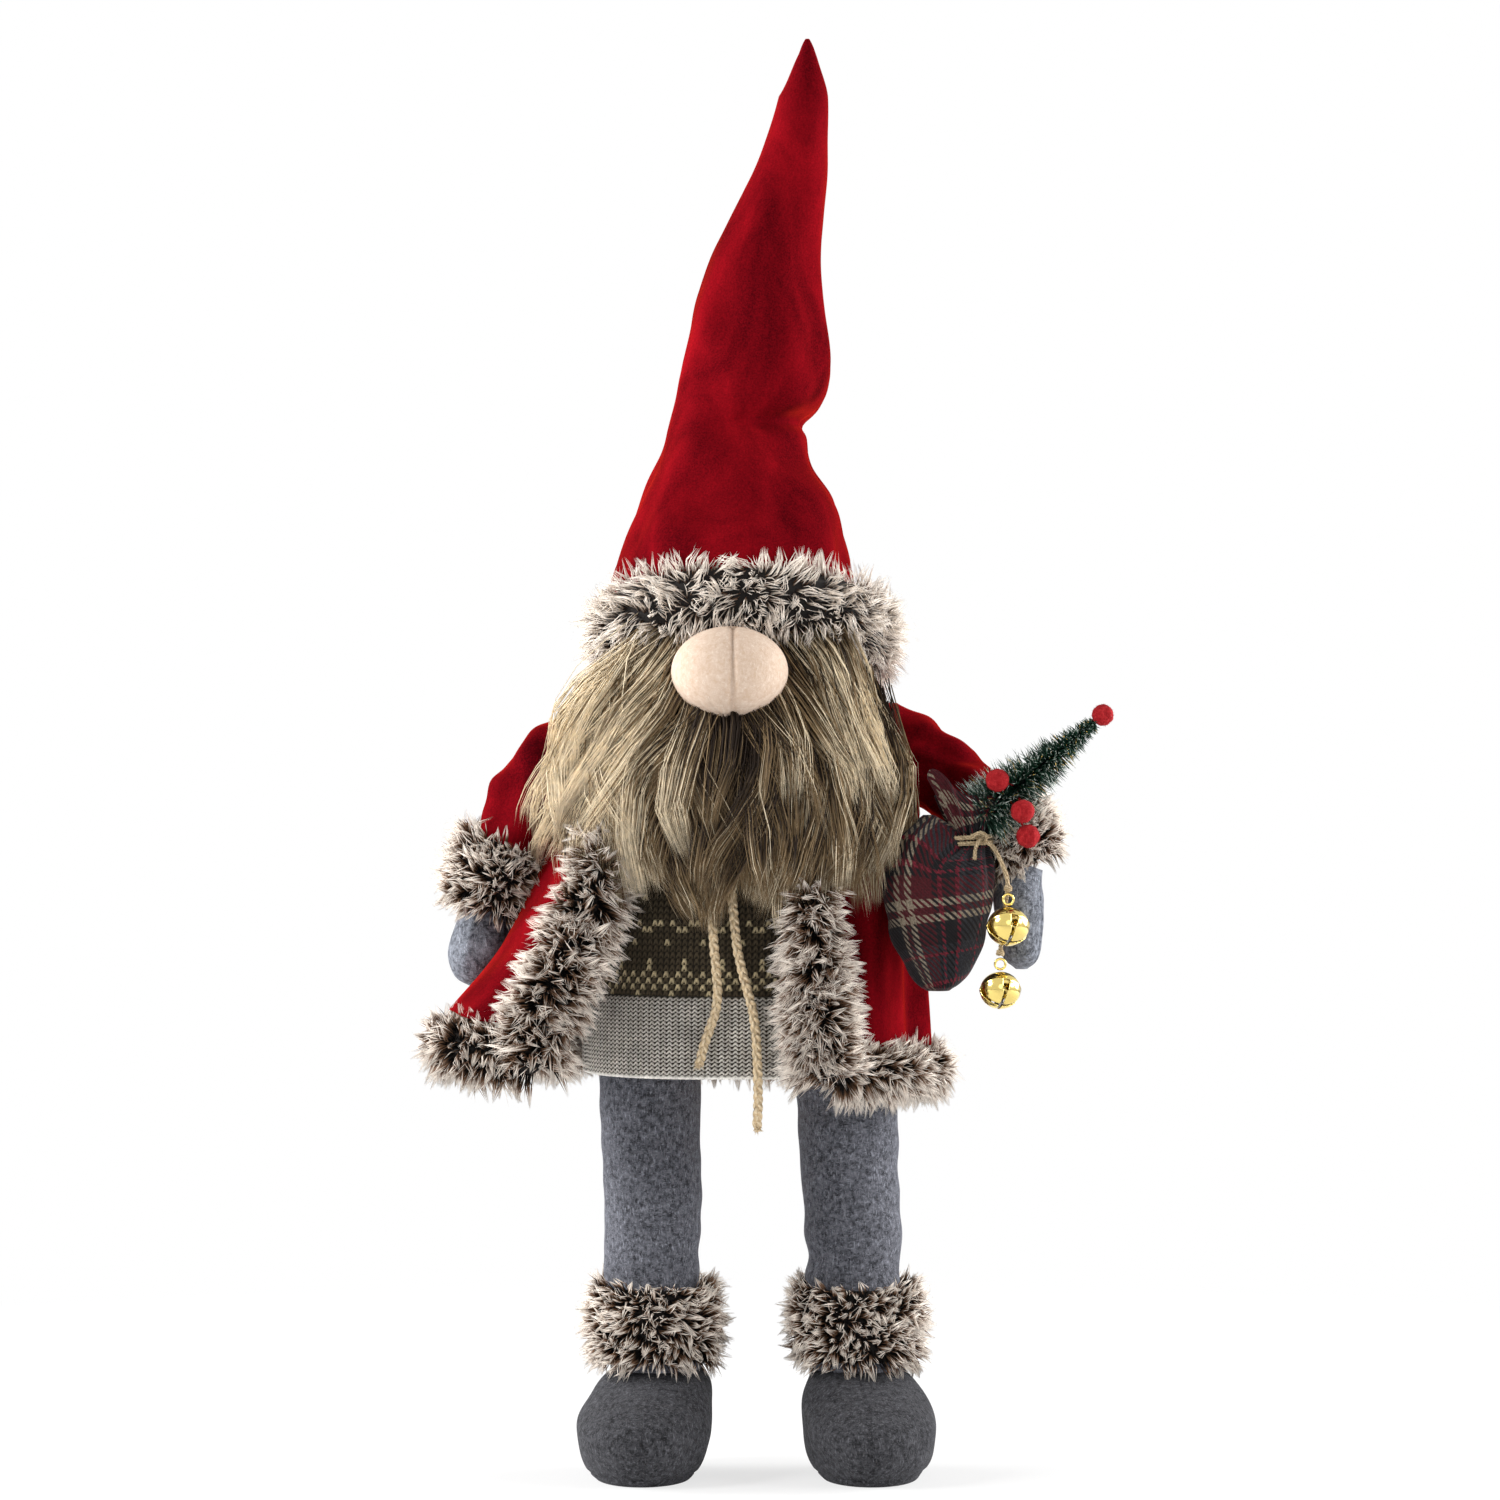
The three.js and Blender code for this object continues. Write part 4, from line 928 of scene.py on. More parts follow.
def stitch_relief(across, up, spread=0.33):
    """Height of inverted-V stitches: two legs that meet at the top of each unit cell, and
    stand that spread to each side of its middle at the foot."""
    p, q = across % 1, up % 1
    lean = spread * (1 - q)
    legs = bump(p - 0.5 + lean, 0, 0.15) + bump(p - 0.5 - lean, 0, 0.15)
    return np.clip(legs, 0, 1.1) * (0.55 + 0.45 * np.sin(np.pi * (q * 0.92 + 0.04)))


def snow_pattern(column, row):
    """Which stitches are pale: two chequered bands, and for some rows those columns of every
    six that make flowers, peaks, dots and a zigzag."""
    banded = ((row >= 1) & (row <= 3)) | ((row >= 18) & (row <= 20))
    pale = banded & ((column + row) % 2 == 0)
    motifs = {0: [0], 4: [2], 5: [2], 8: [5], 10: [1, 2], 11: [0, 3, 4], 15: [1]}
    for number, columns in motifs.items():
        pale |= (row == number) & np.isin(column % 6, columns)
    return pale


def knit_values(inner, motif, relief):
    """The values of a knitted shell's vertices, which are 0 on its inner side."""
    spare = np.zeros(inner.size // 3)
    grids = {"motif": motif, "relief": relief}
    return {name: np.concatenate([grid.ravel(), spare]) for name, grid in grids.items()}


def build_sweater():
    """The sweater's body: rings of the torso with the stitches raised on the outside, and a
    round of cloth over the torso's top, under the head."""
    low, high = node_box("sweater_body")
    fine_top = 372.0
    fine = np.arange(low[2], fine_top, STITCH_TALL / 5)
    z = np.concatenate([fine, np.linspace(fine_top, high[2], 26)])
    angles = dense_front(300, 40)
    outer = round_body(z, GAP + 2.7, angles)
    across, up = stitch_cells(angles, (z - low[2]) / STITCH_TALL)
    shown = (z < fine_top)[:, None] & (np.abs(angles) < FRONT_REACH)
    relief = np.where(shown, stitch_relief(across, up), 0.6)
    motif = snow_pattern(np.floor(across), np.floor(up)).astype(float)
    creases = ripple_on(outer, 60, 5, (1, 1, 2))
    outer = out_from(outer, 0.7 * (relief - 0.5) + 0.25 * motif * relief + 0.5 * creases - 0.3)
    inner = round_body(z[:: len(z) // 8], GAP, angles)
    rings = shell_of(outer, inner)
    neck = closed_tube(round_body(high[2] + np.array([0.6, 1.0, 2.4, 2.8]), 1.5, circle(96)))
    build = Build().add(rings, **knit_values(inner, motif, relief)).add(neck, relief=0.5)
    build.piece("sweater_cloth", "snow_knit", "torso", "sweater_knit", ["sweater_body"])


def build_hem_band():
    """The folded hem band: rings that swell by 4 mm, with small stitches and a pale rolled edge."""
    z = np.arange(HEM_LOW, HEM_HIGH + 0.01, BAND_STITCH_TALL / 5)
    angles = dense_front(330, 60)
    share = (z - HEM_LOW) / (HEM_HIGH - HEM_LOW)
    swell = GAP + 2.0 + 1.9 * np.sqrt(np.clip(1 - (2 * share - 1) ** 8, 0, 1))
    sway = 1.2 * np.sin(angles * 3 + 0.6) * (1 - share[:, None])
    outer = round_body(z, swell[:, None], angles, tapered=False)
    across, up = stitch_cells(angles, z / BAND_STITCH_TALL)
    relief = stitch_relief(across, up, 0.5)
    edge = bump(z, HEM_LOW + 0.8, 1.1)[:, None] * (0.75 + 0.25 * np.sin(across * TURN))
    outer = out_from(outer, 0.75 * (relief - 0.6) + 0.6 * edge)
    outer[..., 2] += np.minimum(sway, 0.0) * 0.3
    inner = round_body(np.array([HEM_LOW, HEM_HIGH]), GAP, angles, tapered=False)
    motif = np.clip(0.55 + 0.45 * np.sin(across * TURN * 0.5) * 0.3 + edge, 0, 1)
    values = knit_values(inner, motif, np.clip(relief + edge, 0, 1))
    Build().add(shell_of(outer, inner), **values).piece(
        "hem_band_cloth", "band_knit", "torso", "hem_knit", ["sweater_hem_band"])


# Felt: boots, legs, mittens and nose


def ball_grid(lift, columns):
    """Unit vectors in rows at the heights of the lifts, each row a round of columns."""
    lift, turn = lift[:, None], circle(columns)
    return beside(np.cos(lift) * np.cos(turn), np.cos(lift) * np.sin(turn), np.sin(lift))


WIDEST = 27.0


def build_boots():
    """Felt boots. Each ring is an oval of half-width w sqrt(1 - ((z - WIDEST) / h)^2). The toe
    is one round panel, with a sunk seam down the front and a stitched sole line."""
    for side, boot_x in (("right", -70.0), ("left", 65.0)):
        z = np.concatenate([np.linspace(0.0, 3.0, 5), np.linspace(4.2, BOOT_TOP, 60)])
        rising = smooth((z - WIDEST) / (BOOT_TOP - WIDEST))
        round_off = np.where(z < WIDEST, 37.0, 48.0)
        narrow = np.sqrt(1 - ((z - WIDEST) / round_off) ** 2)
        long = np.maximum(60 * np.sqrt(1 - ((z - WIDEST) / 40) ** 2), 28.5)
        middles = beside(mix(boot_x, LEG_X[side][0], rising), LEG_Y - 20 * (1 - rising), z)
        rings = oval_rings(middles, 41 * narrow, long, 120)
        from_front = circle(120) - TURN * 0.75
        seam = bump(from_front, 0.0, 0.022) * (z[:, None] > 5)
        sole = bump(z[:, None], 4.4, 0.9)
        ridge = bump(from_front, 0.07, 0.03)
        offsets = 0.9 * ripple_on(rings, 34, 8) - 1.3 * seam + 0.5 * ridge - 1.1 * sole
        rings = out_from(rings, (offsets - 0.8) * smooth((z - 0.5) / 3)[:, None])
        Build().add(closed_tube(rings)).piece(
            f"{side}_boot", "boot_felt", "boots", "boot_felt",
            [f"{side}_boot_shell", f"{side}_boot_sole"])


def build_legs():
    """Felt legs: tapered tubes with a back seam and soft cross wrinkles that grow at the ankle."""
    for seed, side in enumerate(SIDES, 11):
        low, high = leg_line(side)
        z = np.linspace(low[2], high[2], 110)
        middles, radius = leg_at(side, z)
        rings = oval_rings(middles, radius, radius, 96)
        seam = bump(circle(96), TURN * 0.25, 0.05)
        low_fold = bump(z, 118, 26)[:, None]
        wrinkle = ripple_on(rings, 42, seed, (0.5, 0.5, 1.8))
        rings = out_from(rings, 0.9 * wrinkle * (0.5 + low_fold) - 0.9 * seam - 0.5)
        inner = oval_rings(middles[::20], radius[::20] - 2.5, radius[::20] - 2.5, 96)
        leg = Build().add(shell_of(rings, inner)).piece(
            f"{side}_leg", "leg_felt", None, "leg_felt", [f"{side}_leg_sleeve"])
        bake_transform(leg)


def build_mittens():
    """Felt mittens: stuffed pads on a bent path, with a seam round the edge and a thumb fold."""
    for seed, (side, arm) in enumerate(ARMS.items(), 21):
        t = np.linspace(0, 1, 70)
        radius = through_values(arm["hand_radii"], t)
        rings = held_rings(through(arm["hand"], t), radius, 84, arm["flatten"])
        angle = circle(84)
        seam = bump(np.abs((angle + 2.1) % np.pi - np.pi / 2), 0.0, 0.05)
        thumb = bump(angle, TURN * 0.69, 0.16) * bump(t, 0.34, 0.2)[:, None]
        dents = ripple_on(rings, 20, seed)
        rings = out_from(rings, 0.5 * dents - 1.4 * seam + 1.2 * thumb - 0.5)
        mitten = Build().add(closed_tube(rings)).piece(
            f"{side}_mitten_felt", "mitten_felt", f"{side}_arm", "mitten_felt", [f"{side}_mitten"])


NOSE_MIDDLE, NOSE_RADII = (-18.3, -86.0, 478.0), (34.0, 30.6, 26.5)


def build_nose():
    """The nose: a ball gathered under its chin, with a middle seam and drawn tucks below."""
    lift = np.linspace(-np.pi / 2, np.pi / 2, 110)[1:-1]
    ball = ball_grid(lift, 160)
    turn = circle(160)
    low_side = smooth((-lift - 0.35) / 0.9)[:, None]
    tucks = np.abs(np.sin(turn * 8 + 0.9 * np.sin(turn * 3))) ** 0.5 * low_side * 0.05
    seam = bump(ball[..., 0], 0.06, 0.06) * (np.sin(turn) < 0) * 0.085
    radius = 1 + tucks - seam - 0.03 * low_side**2
    grid = np.array(NOSE_MIDDLE) + ball * radius[..., None] * NOSE_RADII
    nose = Build().add(closed_tube(grid)).piece(
        "nose_ball", "nose_felt", "torso", "nose_felt", ["nose"])


# Velvet: hat, coat and sleeves


HAT_LOW, HAT_HIGH = 514.0, 859.0
HAT_TIP = (27.9, 9.8)
HAT_SLOPE = math.tan(math.radians(15))
# Share of the height, middle across and radius
HAT_STATIONS = [
    (0, -16, 75), (0.075, -16, 71), (0.2, -14.7, 56), (0.316, -14.2, 41), (0.417, -4.5, 43),
    (0.562, -0.3, 36), (0.739, 14.7, 25), (0.9, 25.4, 15), (0.965, 27.7, 6.5),
]


def build_hat():
    """The hat: round rings over stations of share, middle and radius, pinched by a fold at one
    side, with slanting drag wrinkles, a back seam and a blunt sewn tip."""
    stations = np.array(HAT_STATIONS)
    t = np.linspace(0, 0.965, 180)
    knots = np.linspace(0, 1, len(stations))
    at = through(stations[:, 1:], np.interp(t, stations[:, 0], knots))
    angle = circle(112)
    x = at[:, :1] + at[:, 1:] * np.cos(angle)
    dy = at[:, 1:] * np.sin(angle)
    z = mix(HAT_LOW, HAT_HIGH, t)[:, None] - dy * (HAT_SLOPE * (1 - smooth(t / 0.3)))[:, None]
    rings = beside(x, (BODY_Y - 2 + 6 * t)[:, None] + dy, z)
    fold_line = 622 + 7 * np.cos(angle + 0.5)
    facing = 0.5 + 0.5 * np.cos(angle + 0.55)
    fold = bump(z, fold_line, 5.5) * facing**3
    lip = (bump(z, fold_line + 15, 9) + 0.8 * bump(z, fold_line - 17, 10)) * facing**2
    drag = np.sin(z * 0.10 + angle * 2.2) * bump(z, 605, 45) * (0.4 + 0.6 * facing)
    broad, small = ripple_on(rings, 52, 31, (1, 1, 0.55)), ripple_on(rings, 24, 33, (1, 1, 0.8))
    seam = bump(angle, TURN * 0.25, 0.045)
    fade = (0.35 + 0.65 * smooth((1 - t) / 0.5))[:, None]
    offsets = (2.4 * broad + 0.7 * small + 2.2 * drag) * fade - 7.5 * fold + 2.4 * lip - 0.9 * seam
    share, size = np.array([(0.975, 5.0), (0.985, 3.8), (0.993, 2.6), (1.0, 1.2)]).T
    middles = beside(*HAT_TIP, mix(HAT_LOW, HAT_HIGH, share))
    rings = np.concatenate([out_from(rings, offsets), oval_rings(middles, size, size, 112)])
    hat = Build().add(closed_tube(rings)).piece(
        "hat_velvet", "red_velvet", "torso", "velvet", ["hat_shell", "hat_stuffing"])


def build_coat():
    """Three hanging velvet panels: the CAD coat's surface with hanging folds and a wrinkled nap."""
    widths = {"right": 70, "back": 150, "left": 76}
    for seed, (part, columns) in enumerate(widths.items(), 31):
        node = "coat_back" if part == "back" else f"coat_{part}_front"
        turns = np.linspace(*COAT_TURNS[part], columns)
        turn, t = np.meshgrid(turns, np.linspace(-0.02, 1.015, COAT_ROWS), indexing="ij")
        base = coat_point(turn, t)
        cloth = ripple_on(base, 40, seed, (1, 1, 0.4))
        hang = ripple(turn * 3.2, turn * 0, base[..., 2] * 0.08, 46, seed + 5)
        grow = (1.2 * cloth + 3.4 * hang * t) * smooth(t * 3) - 1.0 * smooth(t * 4)
        front = coat_point(turn, t, grow)
        back = coat_point(turn, t, grow - WALL)
        piece = Build().add(sheet_of(front, back)).piece(
            f"{node}_velvet", "red_velvet", "torso", "velvet", [node])


def domed(rings, reach, count):
    """Rings with a dome before the first one, which fills the armhole when the arm is raised."""
    share = np.linspace(1, 0, count, endpoint=False)[:, None, None]
    middle = rings[0].mean(0)
    narrowed = (rings[0] - middle) * np.sqrt(1 - 0.99 * share**2)
    return np.concatenate([middle + share * np.array(reach) + narrowed, rings])


def build_sleeves():
    """Velvet sleeves: limb rings with gathered cross wrinkles at the bend, open at the wrist.
    Each one stands for its stuffed arm core too, which stays hidden inside it."""
    for seed, (side, arm) in enumerate(ARMS.items(), 41):
        t = np.linspace(0, 1, 120)
        outer = arm_rings(arm, t, 96)
        x, y, z = np.moveaxis(outer, -1, 0)
        pitch, deep, tight = arm["creases"]
        crease = np.sin(pitch * (z * 0.28 + x * 0.12) + 1.6 * np.sin(y * 0.06))
        crease = deep * crease * bump(t, 0.45, 0.3)[:, None]
        broad, fine = ripple_on(outer, 34, seed), ripple_on(outer, 30, seed + 2, (0.6, 0.8, 1.5))
        offsets = np.maximum(crease + 2.0 * broad + tight * fine - 0.8, -3.0)
        outer = domed(out_from(outer, offsets), (20 * arm["inwards"], 0, 2), 14)
        inner = domed(arm_rings(arm, t[::17], 96, -WALL), (18 * arm["inwards"], 0, 2), 6)
        sleeve = Build().add(shell_of(outer, inner)).piece(
            f"{side}_sleeve_velvet", "red_velvet", None, "velvet",
            [f"{side}_sleeve", f"{side}_arm_core"])
        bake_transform(sleeve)


# Fur and beard


def build_brim():
    """The hat's fur brim: a ring of oval section, tipped back by 15 degrees."""
    a = circle(90)[:, None]
    b = circle(28)[None]
    reach = 79.5 + 8.5 * np.cos(b)
    y = np.sin(a) * reach
    z = 500 + 17.5 * np.sin(b) - y * HAT_SLOPE
    rings = beside(-11 + np.cos(a) * reach, BODY_Y + y, z)
    fur_round("brim_hair", "hat_brim_fur", rings, 101, 11500, 17.5, 1900, looped=True,
              tone=0.95, droop=0.05, pull=0.85, sway=0.6)


def build_head():
    """The head's dark cloth cover, seen from the side between the brim and the coat, with
    gathers at the neck. Its radius is r sqrt(1 - ((t - 0.4) / 0.63)^2) over its height."""
    low, high = node_box("head_core")
    t = np.linspace(0, 1, 60)
    radius = (high[0] - low[0]) / 2 * np.sqrt(np.maximum(1 - ((t - 0.4) / 0.63) ** 2, 0.02))
    middle = (low + high) / 2
    middles = beside(middle[0], middle[1], mix(low[2], high[2], t))
    rings = oval_rings(middles, radius, radius, 120)
    angle = circle(120)
    gathers = np.sin(angle * 17 + 1.3 * np.sin(angle * 4)) * bump(t, 0.0, 0.35)[:, None]
    rings = out_from(rings, 0.8 * gathers + 0.6 * ripple_on(rings, 26, 91) - 0.9)
    head = Build().add(closed_tube(rings)).piece(
        "head_cloth", "head_felt", "torso", "stuffing", ["head_core"])


def build_boot_cuffs():
    """Fur cuffs round the boot tops: rings that swell at mid-height."""
    for seed, side in enumerate(SIDES, 110):
        z = np.linspace(68.5, 111.5, 14)
        middles, radius = leg_at(side, z)
        swell = 1.2 + 3.8 * np.sin(np.pi * (z - 67) / 46) ** 0.6
        outer = oval_rings(middles, radius + GAP + swell, radius + GAP + swell, 48)
        inner = oval_rings(middles, radius + GAP, radius + GAP, 48)[[-1, 0]]
        fur_cuff(f"{side}_boot_cuff_hair", f"{side}_boot_cuff", "ankles", outer, inner, seed,
                 6200, 15.5, 800)


def fur_cuff(name, node, body, outer, inner, seed, count, length, tufts):
    """A cuff: hair on the outer face of an open tube with a wall, which fans out at the rims."""
    draw = np.random.default_rng(seed)
    roots, normals = scatter(outer, count, draw)
    middles = outer.mean(1)
    row = nearest(roots, middles)
    axis = unit(middles[-1] - middles[0])
    fan = 0.75 * ((row / (len(middles) - 1)) * 2 - 1) ** 3
    normals = unit(faced(normals, roots, middles[row]) + fan[:, None] * axis)
    paths, near = tufted(roots, normals, draw, length, tufts, droop=0.04)
    furred(name, shell_of(outer, inner[::-1]), paths, near, draw, body, node)


def build_sleeve_cuffs():
    """Fur cuffs round the wrists."""
    for seed, (side, arm) in enumerate(ARMS.items(), 120):
        t = np.linspace(0.68, 1.0, 12)
        swell = 1.0 + 0.42 * arm["swell"] * (0.4 + 0.6 * np.sin(np.pi * (t - 0.66) / 0.34))
        outer = arm_rings(arm, t, 44, swell)
        inner = arm_rings(arm, t[[-1, 0]], 44, GAP)
        fur_cuff(f"{side}_cuff_hair", f"{side}_sleeve_cuff", f"{side}_arm", outer, inner, seed,
                 5900, arm["cuff_hair"], 720)


def build_front_trims():
    """Fur down the coat's front edges: round trims that widen to a curled foot."""
    for seed, (side, turn, radii, foot, first) in enumerate((
        ("right", -134.0, [12, 17, 20, 22], (-3, 0, -24), 0.43),
        ("left", 158.0, [9, 13, 17, 19], (4, 0, -22), 0.56),
    ), 130):
        path = coat_point(turn, np.linspace(first, 1.0, 4), np.array(radii) * 0.2)
        path = np.vstack([path, path[-1] + foot])
        t = np.linspace(0, 1, 40)
        radius = through_values([*radii, radii[-1] * 0.9], t)
        rings = tube_rings(resample(through(path, t), 40), radius * 0.5, 22)
        fur_round(f"{side}_trim_hair", f"{side}_front_trim", rings, seed, 8200, 22.0, 950,
                  tone=-0.12, comb=(0, -0.1, -0.15), droop=0.14)


def build_hem_trims():
    """Fur round the coat's hem: a round trim centred just below the cloth's edge."""
    counts = {"right": 6000, "back": 10200, "left": 6200}
    for seed, (part, count) in enumerate(counts.items(), 140):
        node = f"hem_trim_{part}"
        turn = np.linspace(*COAT_TURNS[part], 60)
        a = np.radians(turn)
        slimmer = 2 * np.sin(a) * np.where(turn > 0, 1.5, 0.5)
        radius = 19 - slimmer + 2 * bump(turn, -118, 22)
        path = coat_point(turn, 1.0, -WALL / 2)
        path[:, 2] -= radius + GAP
        angle = circle(22)[:, None]
        out = beside(np.sin(a), np.cos(a), 0.0)
        section = out[:, None] * np.cos(angle) + np.array([0.0, 0.0, 1.0]) * np.sin(angle)
        rings = path[:, None] + 0.42 * radius[:, None, None] * section
        fur_round(f"{node}_hair", node, rings, seed, count, 18.5, count // 9,
                  tone=-0.05, comb=(0, 0, -0.2))


# Rows of height, reach in front of the body's middle, half-width and middle
BEARD_ROWS = np.array([
    (318, 98, 26, -4), (348, 106, 70, -10), (376, 111, 94, -20), (408, 112, 104, -22),
    (440, 108, 100, -18), (470, 100, 92, -14), (498, 84, 70, -12),
], float).T
BEARD_BEND = 138
LOCK_WAVE = 110
BEARD_LEVELS = 6
BEARD_LOCKS, BEARD_STRANDS, BEARD_HAIRS = 150, 1300, 15900


def beard_depth(x, z):
    """How far in front of the body's middle the beard's face lies: a bent sheet."""
    reach = np.interp(z, BEARD_ROWS[0], BEARD_ROWS[1])
    return reach * np.sqrt(np.clip(1 - ((x - BODY_X) / BEARD_BEND) ** 2, 0.05, 1))


def beard_half(z):
    return np.interp(z, BEARD_ROWS[0], BEARD_ROWS[2]), np.interp(z, BEARD_ROWS[0], BEARD_ROWS[3])


def beard_held(x, z):
    """Draws hair in at the beard's sides, where the sleeves show beside it."""
    right, left = -111 - 0.22 * (470 - z), 84 - 0.12 * (474 - z)
    x = np.where(x < right, mix(right, x, 0.2), x)
    return np.where(x > left, mix(left, x, 0.35), x)


def beard_roots(amount, seed):
    """Roots over the backing, with a length that ends near the beard's lower edge."""
    draw = np.random.default_rng(seed)
    z = 382 + 122 * draw.random(amount) ** 0.8
    half_width, centre = beard_half(z)
    x = centre + (half_width - 9) * draw.uniform(-1, 1, amount)
    floor = 340 + 0.0040 * (x + 8) ** 2 + draw.normal(0, 10, amount)
    return x, z, np.clip(z - floor, 34, draw.uniform(84, 134, amount))


def beard_run(x, z, lengths, rise, phase, swing, lean):
    """Where hairs run from their roots: out from the nose, then down, and inwards near the
    bottom, with a wave swing * sin(2 pi (length s / LOCK_WAVE + phase)) across and a lean of
    its own. Depth follows the beard's face, from the backing at the root to rise at the tip."""
    s = np.linspace(0, 1, BEARD_LEVELS)
    px, pz = [x], [z]
    step = lengths / (BEARD_LEVELS - 1)
    for _ in s[1:]:
        x, z = px[-1], pz[-1]
        far = 1 - 0.62 * smooth((np.abs(x + 16) - 40) / 50)
        out = 0.9 * far * np.tanh((x + 18) / 38) * smooth((z - 385) / 80)
        inwards = -0.36 * np.tanh((x + 4) / 50) * smooth((400 - z) / 45)
        way = out + inwards + lean
        down = step / np.sqrt(1 + way**2)
        px.append(beard_held(x + way * down, z - down))
        pz.append(z - down)
    x, z = beside(*px), beside(*pz)
    turn = TURN * (lengths[:, None] * s / LOCK_WAVE + phase[:, None])
    x = x + swing[:, None] * (np.sin(turn) - np.sin(TURN * phase[:, None])) * s**0.7
    lift = -12 * (1 - s) ** 2.5 + rise[:, None] * s**0.6
    return beside(x, BODY_Y - beard_depth(x, z) - lift + 1.0, z)


def beard_strands(draw):
    """The strands' paths and the lock that each one is in. Strands follow their lock, apart
    from a few that run loose."""
    s = np.linspace(0, 1, BEARD_LEVELS)
    lead_x, lead_z, lead_length = beard_roots(BEARD_LOCKS, 151)
    phase = 0.45 * ripple(lead_x, lead_z, 0 * lead_x, 90, 7) + draw.uniform(0, 0.4, BEARD_LOCKS)
    swing = draw.uniform(3.0, 8.0, BEARD_LOCKS)
    rise = draw.uniform(-6.0, 5.5, BEARD_LOCKS)
    lean = draw.normal(0, 0.22, BEARD_LOCKS)
    lead = beard_run(lead_x, lead_z, lead_length, rise, phase, swing, lean)
    count = BEARD_STRANDS
    x, z, length = beard_roots(count, 152)
    heads = beside(lead_x, 0.0, lead_z * 0.6)
    near = nearest(beside(x, 0.0, z * 0.6), heads)
    length = mix(length, lead_length[near], draw.uniform(0.3, 0.95, count))
    rise = rise[near] + draw.normal(0, 2.0, count)
    phase = phase[near] + draw.normal(0, 0.05, count)
    swing = swing[near] * draw.uniform(0.7, 1.3, count)
    lean = lean[near] + draw.normal(0, 0.05, count)
    own = beard_run(x, z, length, rise, phase, swing, lean)
    loose = draw.random(count) < 0.12
    hold = np.where(loose, 0.1, draw.uniform(0.45, 0.9, count))
    guide = mix(own, lead[near], (hold[:, None] * s**0.9)[..., None])
    astray = np.where(loose, 4.0, 0.7)[:, None] * s**1.4
    return guide + draw.normal(0, 1, (count, 1, 3)) * astray[..., None], near


def build_beard():
    """The beard: hair that leaves a bent backing, parts under the nose, falls along the
    backing's face in wavy locks, and ends at uneven heights below it."""
    draw = np.random.default_rng(150)
    backing_z = np.linspace(372, 496, 30)
    half, middle = beard_half(backing_z)
    x = middle[:, None] + (half[:, None] - 8) * np.linspace(-1, 1, 50)
    z = np.broadcast_to(backing_z[:, None], x.shape)
    front = beside(x, BODY_Y - beard_depth(x, z) + 13, z)
    back = front + beside(0.0, 6 + 24 * smooth((z - 425) / 45), 0.0)
    guide, near = beard_strands(draw)
    s, count = np.linspace(0, 1, BEARD_LEVELS), BEARD_HAIRS
    of = draw.integers(0, BEARD_STRANDS, count)
    stray = draw.random(count) < 0.05
    gather = (1 - 0.4 * s)[None, :, None]
    paths = guide[of] + draw.normal(0, 1, (count, 1, 3)) * np.array([3.0, 1.6, 3.5]) * gather
    astray = np.where(stray, 5.0, 0.35)[:, None] * s**1.5
    paths += draw.normal(0, 1, (count, 1, 3)) * astray[..., None]
    # Painted light and shade: hair far out to the sides and high up gets paler tints, and the
    # middle and lower beard darker ones, as if lit from the sides and shaded under the nose. The
    # figure's right side stays pale further down. The rest of each tint differs at random by lock
    # and strand.
    painted_light_floor = np.where(guide[:, 3, 0] < -15, 350, 385)
    edge = smooth(np.abs(guide[:, 3, 0] + 15) / 85) * smooth((guide[:, 3, 2] - painted_light_floor) / 80)
    shade = 0.5 * draw.random(BEARD_LOCKS)[near] + 0.34 * draw.random(BEARD_STRANDS)
    # Painted light added to the random tone of each lock and strand.
    shade = shade + 0.92 * edge - 0.43
    guard = draw.random(count)
    tint = shade[of] + 0.22 * draw.random(count) - 0.4 * (guard < 0.22) + 0.3 * (guard > 0.9)
    tint = np.clip(tint, 0, 1)
    width = np.where(stray, 0.16, draw.uniform(0.22, 0.46, count))
    thirds = np.array_split(np.argsort(paths[:, 0, 0]), 3)
    for name, part in zip(("right", "middle", "left"), thirds):
        build, stands_for = Build(), []
        if name == "middle":
            build.add(sheet_of(front, back), along=0.05, tint=0.3)
            stands_for = ["beard"]
        build.add_hairs(paths[part], width[part], tint[part])
        build.piece(f"beard_{name}_locks", "beard_hair", "torso", "beard_fur", stands_for)


# Cords and twine


CORD_ROUTES = {
    "right": [
        (-24, -55.5, 430), (-24.3, -62.5, 428.5), (-25, -70, 419.5), (-26, -76.6, 405),
        (-27, -78.2, 390), (-28, -78.4, 376), (-28.8, -78.4, 362), (-28.9, -78.4, 348),
        (-28.5, -78.4, 334), (-27.6, -78.4, 320), (-26.4, -78.4, 306), (-25.4, -78.4, 292),
        (-26.6, -78.4, 280), (-30, -78.4, 270), (-33.2, -78.4, 260.5), (-36, -78.4, 249.6),
    ],
    "left": [
        (-15, -56.2, 431), (-15.3, -63, 429.5), (-15.8, -70, 420.5), (-16.5, -76.6, 406),
        (-17, -78.4, 391), (-17.3, -78.4, 377), (-17.3, -78.4, 363), (-17, -78.4, 349),
        (-15.6, -78.4, 332), (-13.6, -78.4, 315), (-9.6, -78.4, 298), (-5.3, -78.4, 282),
        (-3.2, -78.4, 268), (-2.4, -78.2, 254), (-1.9, -78, 240), (-1.8, -77.8, 226),
        (-2.4, -77.6, 213),
    ],
}
TWINE_DIAMETER = 2.8


